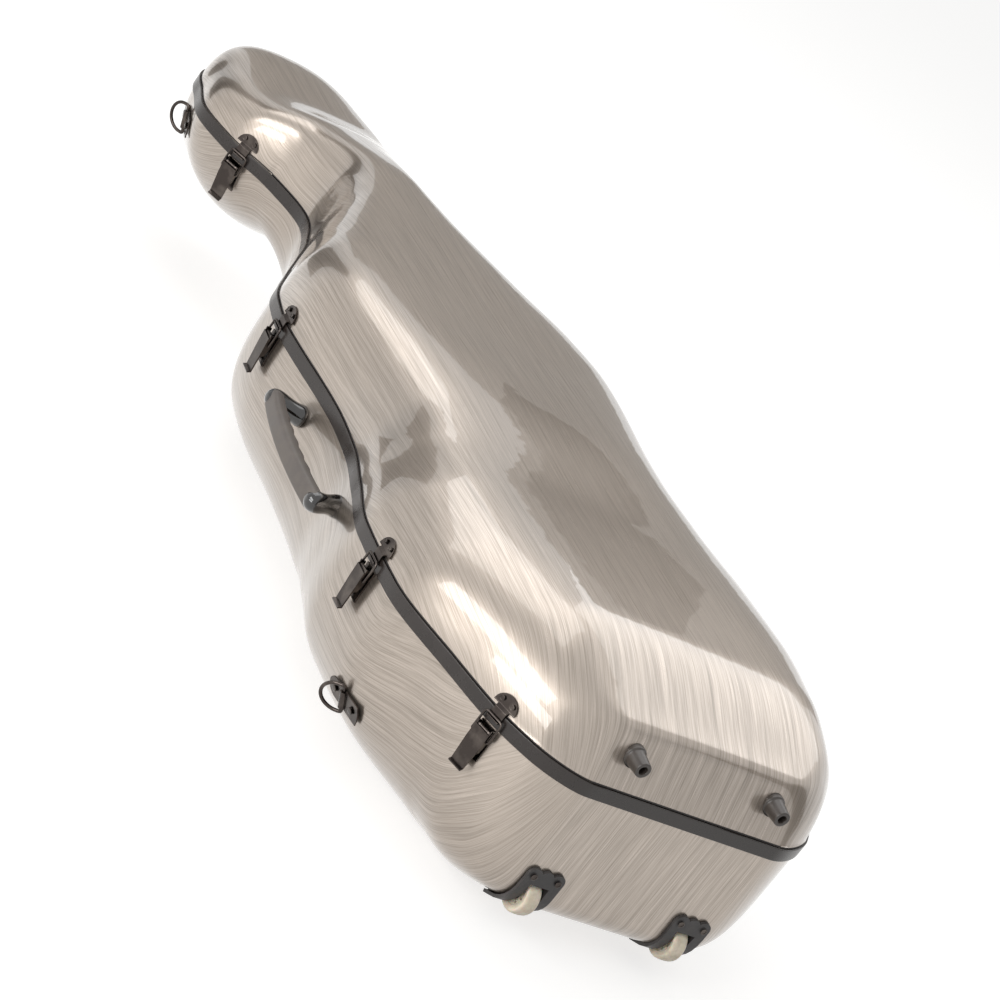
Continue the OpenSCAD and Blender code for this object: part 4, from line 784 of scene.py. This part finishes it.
def turned(name, places, outline, coat, sides=32):
    """Pieces turned on a lathe: outline gives radius and height in mm, up from the top of each place."""
    around = np.linspace(0, 2 * math.pi, sides + 1)
    verts, faces = [], []
    for top, axis, length in places:
        side = np.cross(axis, (0.31, 0.22, 0.9))
        side /= np.linalg.norm(side)
        other = np.cross(axis, side)
        start = len(verts)
        for r, h in [*outline, (outline[-1][0], -length)]:
            for a in around[:-1]:
                verts.append((top + axis * h + r * (math.cos(a) * side + math.sin(a) * other)) * MM)
        for i in range(len(outline)):
            for j in range(sides):
                a, b = start + i * sides + j, start + i * sides + (j + 1) % sides
                faces.append((a, a + sides, b + sides, b))
        faces.append([start + j for j in range(sides)])
        last = start + len(outline) * sides
        faces.append([last + j for j in range(sides)][::-1])
    mesh = bpy.data.meshes.new(name)
    mesh.from_pydata(verts, [], faces)
    mesh.polygons.foreach_set("use_smooth", [True] * len(mesh.polygons))
    mesh.materials.append(coat)
    piece = bpy.data.objects.new(name, mesh)
    bpy.context.collection.objects.link(piece)
    return settled(piece, ("WEIGHTED_NORMAL", dict(weight=60)))


# A screw head is a low dome round a driver's recess. A tubular rivet is a rolled rim round its hole.
SCREW = [(0.3, -1.3), (0.9, -1.2), (1.1, -0.1), (1.3, 0), (1.9, -0.15), (2.5, -0.7), (2.8, -1.4),
         (2.8, -1.9), (1.8, -1.9)]
RIVET = [(0.3, -1.6), (1.5, -1.5), (1.8, -0.3), (2.2, 0), (2.9, -0.1), (3.7, -0.7), (4.1, -1.6),
         (4.1, -2), (1.8, -2)]
STUD = [(0.3, 0), (1.2, -0.05), (2.0, -0.3), (2.7, -0.8), (3.0, -1.2), (1.8, -1.2)]
HOUSING_SCREW = [(r * 1.28, h) for r, h in SCREW]
for node_name, label, outline, body in (
    ("keeper_screws", "keeper_screw_heads", SCREW, "lid"),
    ("latch_base_rivets", "latch_rivet_heads", STUD, "case_back"),
    ("wheel_housing_screws", "housing_screw_heads", HOUSING_SCREW, "case_back"),
    ("strap_bracket_rivets", "bracket_rivet_heads", RIVET, "case_back"),
    ("hinge_back_rivets", "hinge_back_rivet_heads", STUD, "case_back"),
    ("hinge_lid_rivets", "hinge_lid_rivet_heads", STUD, "lid"),
    ("lid_foot_screws", "foot_screw_heads", SCREW, "lid"),
):
    heads = turned(label, fixing_places(node_name), outline, black_nickel)
    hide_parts(node_name)
    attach(heads, body)


# Handle. A rubber grip is moulded over a steel bar, and its ends sit in gloss black elbows that are
# bolted to the shell from inside.
HANDLE_AT, HANDLE_FEET, HANDLE_DROP = 530, 170, 44
GRIP_LEN, GRIP_OUT, GRIP_ARCH, GRIP_THICK, GRIP_HIGH, RIDGE_GAP = 202, 40, 9, 15, 22, 24


def wall_place(s, drop):
    """A point of the latch side's wall, drop below the seam, in plan."""
    power = back_form["square"](s)
    depth = back_form["depth"](s) * head_fall(s, HEAD_DEPTH) - corner_cut(back_form["corner"], s)
    return np.array([-float(half_width(s) * (1 - (drop / depth) ** power) ** (1 / power)), s - BASE_AT])


feet = [wall_place(HANDLE_AT + side * HANDLE_FEET / 2, HANDLE_DROP) for side in (1, -1)]
toward_base = feet[1] - feet[0]
handle_span = np.linalg.norm(toward_base)
toward_base /= handle_span
handle_out = np.array([toward_base[1], -toward_base[0]])
handle_mid = (feet[0] + feet[1]) / 2


def at_handle(out, along, up):
    """A point by how far it stands out from the wall, and how far it is to the base end and up."""
    plan = handle_mid + handle_out * out + toward_base * along
    return np.array([plan[0], plan[1], SEAM - HANDLE_DROP + up])


# Moulded grip rubber: matt dark grey with a fine leather-like grain, polished a little by the hand
grip_rubber = grained("moulded_grip_rubber", "#5a5450", "#68615b", 0.5, 0.9, 0.12)
TAIL, TAIL_SHRINK = 5, 0.18
RIDGE_DEEP, RIDGES_END, RIDGE_FADE = 2.2, 66, 10
grip_radius = ((GRIP_LEN / 2) ** 2 + GRIP_ARCH**2) / (2 * GRIP_ARCH)
section = rounded([(-GRIP_THICK / 2, -GRIP_HIGH / 2), (GRIP_THICK / 2, -GRIP_HIGH / 2),
                   (GRIP_THICK / 2, GRIP_HIGH / 2), (-GRIP_THICK / 2, GRIP_HIGH / 2)], 6, 8)
rows = []
tail = GRIP_LEN / 2 - TAIL * (1 - np.sin(np.linspace(0.15, math.pi / 2, 9)))
for y in np.concatenate([-tail[::-1], np.linspace(TAIL - GRIP_LEN / 2, GRIP_LEN / 2 - TAIL, 193), tail]):
    middle = GRIP_OUT - grip_radius + math.sqrt(grip_radius**2 - y * y)
    end = min(1, (GRIP_LEN / 2 - abs(y)) / TAIL)
    shrink = 1 - TAIL_SHRINK + TAIL_SHRINK * math.sqrt(max(0, 1 - (1 - end) ** 2))
    fade = max(0, min(1, (RIDGES_END - abs(y)) / RIDGE_FADE))
    ridge = RIDGE_DEEP * (0.5 + 0.5 * math.cos(2 * math.pi * y / RIDGE_GAP)) * fade
    flat = section * shrink
    inner = np.clip(-flat[:, 0] / (GRIP_THICK / 2), 0, 1)
    rows.append([at_handle(middle + a - ridge * deep, y, b) for (a, b), deep in zip(flat, inner)])
rows = np.array(rows)
rows = np.concatenate([rows, rows[:, :1]], axis=1)
caps = [np.repeat(rows[k].mean(axis=0)[None, None], rows.shape[1], axis=1) for k in (0, -1)]
grip = grid_piece("handle_rubber", np.concatenate([caps[0], rows, caps[1]]), grip_rubber)
settled(grip, ("WELD", dict(merge_threshold=0.00001)))
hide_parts("handle_grip")
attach(grip, "case_back")

# Moulded and lacquered elbow: piano black, with a sharp highlight. It leans outward and holds the
# grip's end as a cup does. Its axis goes out from the wall and along the case, and its radius changes.
gloss_black = grained("lacquered_abs_piano_black", "#141211", "#1b1918", 0.09, 3.0, 0.01, **{
    "Coat Weight": 1.0, "Coat Roughness": 0.03})
for label, side in (("head", -1), ("base", 1)):
    foot = handle_span / 2 * side
    outs = [-3, 1, 4, 8, 13, 18, 22, 26, 30, 34, 37.5, 40, 41.8]
    alongs = [-0.4, 0, 0.8, 2.4, 4.8, 7.2, 9, 10.4, 11.4, 12, 12.2, 12.2, 12.2]
    radii = [12.6, 12.6, 12, 11, 10.4, 10.6, 11, 11.5, 11.7, 11.2, 9.4, 6.8, 3]
    path = [at_handle(out, foot + along * side, 0) for out, along in zip(outs, alongs)]
    elbow = tube(f"handle_elbow_{label}", path, radii, gloss_black, sides=40)
    settled(elbow, ("SUBSURF", dict(levels=1, render_levels=1)))
    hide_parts("handle_elbows")
    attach(elbow, "case_back")


# Strap brackets and rings. A plated sheet is folded over the straight side of a wire ring and riveted
# through the back half: two low on the lower bouts and two at the head.
eased("strap_bracket_plates", ["strap_brackets"], 0.5, black_nickel, "case_back")
# The ring: a D of bent wire, butt-welded at its straight side
RING_WIRE, RING_HALF = 4, 18
for k in range(1, 5):
    centre, axis, reach, far = joint_frame(f"strap_ring_{k}_bar", f"strap_ring_{k}")
    straight = far - RING_WIRE / 2 - RING_HALF
    bow = [(RING_HALF * math.cos(a), straight + RING_HALF * math.sin(a))
           for a in np.linspace(0, math.pi, 25)]
    path = filleted([centre + axis * a + reach * b for a, b in [(-RING_HALF, 0), (RING_HALF, 0), *bow]],
                    3.2, closed=True)
    ring = tube(f"strap_ring_wire_{k}", path, RING_WIRE / 2, black_nickel, closed=True)
    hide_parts(f"strap_ring_{k}")
    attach(ring, f"strap_ring_body_{k}")

# Wheels. Each corner of the base end has a moulded nylon housing, screwed on, with a cast resin wheel
# that turns on two ball bearings.

# Moulded nylon: dark grey, matt, with a coarse moulded grain and scuffs from the ground
housing_plastic = grained("moulded_nylon_dark_grey", "#302e2e", "#4b4847", 0.5, 1.4, 0.1)
eased("wheel_housing_shells", ["wheel_housings"], 0.9, housing_plastic, "case_back",
      segments=3)

# Cast polyurethane: milky cream that light goes into a little, with dust rubbed into its tread in
# patches about 11 mm wide
DUST_PER_M = 90
resin, tree = new_material("cast_polyurethane_cream")
place = node(tree, "ShaderNodeTexCoord")
dust = node(tree, "ShaderNodeTexNoise", {
    "Vector": place.outputs["Object"], "Scale": DUST_PER_M, "Detail": 6, "Roughness": 0.7})
soil = node(tree, "ShaderNodeMapRange", {"Value": dust.outputs["Fac"], "From Min": 0.45, "From Max": 0.75})
tone = node(tree, "ShaderNodeMix", {0: soil.outputs[0], 6: linear("#efe4cf"), 7: linear("#cfc2ab")},
            data_type="RGBA")
gloss = node(tree, "ShaderNodeMapRange", {
    "Value": dust.outputs["Fac"], "From Min": 0.3, "From Max": 0.7, "To Min": 0.28, "To Max": 0.5})
bump = node(tree, "ShaderNodeBump", {"Strength": 0.2, "Distance": 0.0003, "Height": dust.outputs["Fac"]})
surface = node(tree, "ShaderNodeBsdfPrincipled", {
    "Base Color": tone.outputs[2], "Roughness": gloss.outputs[0], "Subsurface Weight": 0.25,
    "Subsurface Scale": 0.004, "Normal": bump.outputs[0]})
node(tree, "ShaderNodeOutputMaterial", {"Surface": surface.outputs[0]})
# Ground bearing steel: a clean pale grey with a soft gloss
bearing_steel = plated("ground_bearing_steel", "#8e8984", "#a8a39d", 0.22)

HUB_R, AXLE_Y, AXLE_Z = 13, 11 - BASE_AT, SEAM - 146
TYRE = [(HUB_R, 7.5), (14.4, 7.9), (17, 8.7), (18, 9), (18.9, 8.9), (19.8, 8.2), (20.5, 6.8), (20.8, 5.2),
        (21, 3), (21, 0)]
TYRE = TYRE + [(r, -h) for r, h in TYRE[-2::-1]]
for side, x in (("left", -WHEEL_X), ("right", WHEEL_X)):
    around = np.linspace(0, 2 * math.pi, 97)
    rows = np.array([[(x + h, AXLE_Y + r * math.cos(a), AXLE_Z + r * math.sin(a)) for a in around]
                     for r, h in TYRE + TYRE[:1]])
    tyre = grid_piece(f"wheel_tread_{side}", rows, resin)
    settled(tyre, ("WELD", dict(merge_threshold=0.00001)))
    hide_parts(f"wheel_tyre_{side}")
    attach(tyre, f"wheel_{side}")
    eased(f"wheel_centre_{side}", [f"wheel_hub_{side}"], 0.4, resin, f"wheel_{side}")
    eased(f"wheel_races_{side}", [f"wheel_bearings_{side}"], 0.4, bearing_steel,
          f"wheel_{side}")

# Hinges. Two pairs of leaves are stamped from steel, with their knuckles rolled, and plated as the
# latches are. They turn on pins, on the side away from the latches, and are riveted to both halves.
eased("hinge_leaves_back", ["hinge_back_leaves"], 0.45, black_nickel, "case_back")
eased("hinge_leaves_lid", ["hinge_lid_leaves"], 0.45, black_nickel, "lid")

# Feet. Two tapered rubber tubes with a collar are screwed to the lid's end face, so that the case can
# stand on its base end.

# Moulded rubber: a dark warm grey, smoother and a little glossier than the grip
foot_rubber = grained("moulded_foot_rubber", "#3d3733", "#4b4540", 0.32, 1.0, 0.06)
FOOT_X, FOOT_UP, FOOT_LEN, FOOT_BACK, FOOT_CLEAR = 93.5, 36, 23, 30, 0.3
face_y = lid_form["lean"] * FOOT_UP - BASE_AT
FOOT = [(2, -18), (4.5, -18), (4.5, -0.8), (4.9, -0.2), (5.4, 0), (7.8, 0), (8.3, -0.3), (8.6, -1.1),
        (10.2, -18.6), (10.6, -19.8), (11.6, -20.4), (11.9, -21), (12, -22), (12, -FOOT_BACK)]
places = [(np.array([x, face_y - FOOT_LEN, SEAM + FOOT_UP]), np.array([0, -1.0, 0]), FOOT_BACK)
          for x in (-FOOT_X, FOOT_X)]
rubber_feet = turned("stand_feet", places, FOOT, foot_rubber, sides=64)
# The back of each foot is cut to the end face, which leans
for vert in rubber_feet.data.vertices:
    face = (-BASE_AT + lid_form["lean"] * (vert.co.z / MM - SEAM) - FOOT_CLEAR) * MM
    vert.co.y = min(vert.co.y, face)
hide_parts("lid_feet")
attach(rubber_feet, "lid")

# Inside of the lid. A padded cloth pocket, sewn and glued in, holds rosin and strings. Foam rests in
# plush and two turning clips hold the bows.
upholstered("accessory_pocket", ["lid_pocket"], pad_cloth, "lid", puff=3)
upholstered("bow_rest_blocks", ["bow_rests"], lining_plush, "lid", puff=0.6)
# Moulded acetal: nearly black, smooth and a little waxy
clip_plastic = grained("moulded_acetal_black", "#1c1b1d", "#29282a", 0.35, 1.2, 0.04)
for k in (1, 2):
    eased(f"bow_turn_clip_{k}", [f"bow_clip_{k}"], 0.6, clip_plastic,
          f"bow_clip_body_{k}")

# Pins, axles, bolts and the handle's core. They are turned or bent from steel, zinc or black nickel
# plated, and hardly show. They stay as modelled in the CAD, and get a finish here.

# Zinc plate: a pale cool grey with a soft gloss
zinc = plated("zinc_plated_steel", "#7d7873", "#98928c", 0.32)
for node_name, coat in (("handle_core", zinc), ("handle_bolts", zinc), ("latch_pivot_pins", black_nickel),
                        ("wheel_axles", zinc), ("hinge_pins", black_nickel)):
    kept = frame["nodes"][node_name].data
    kept.materials.clear()
    kept.materials.append(coat)
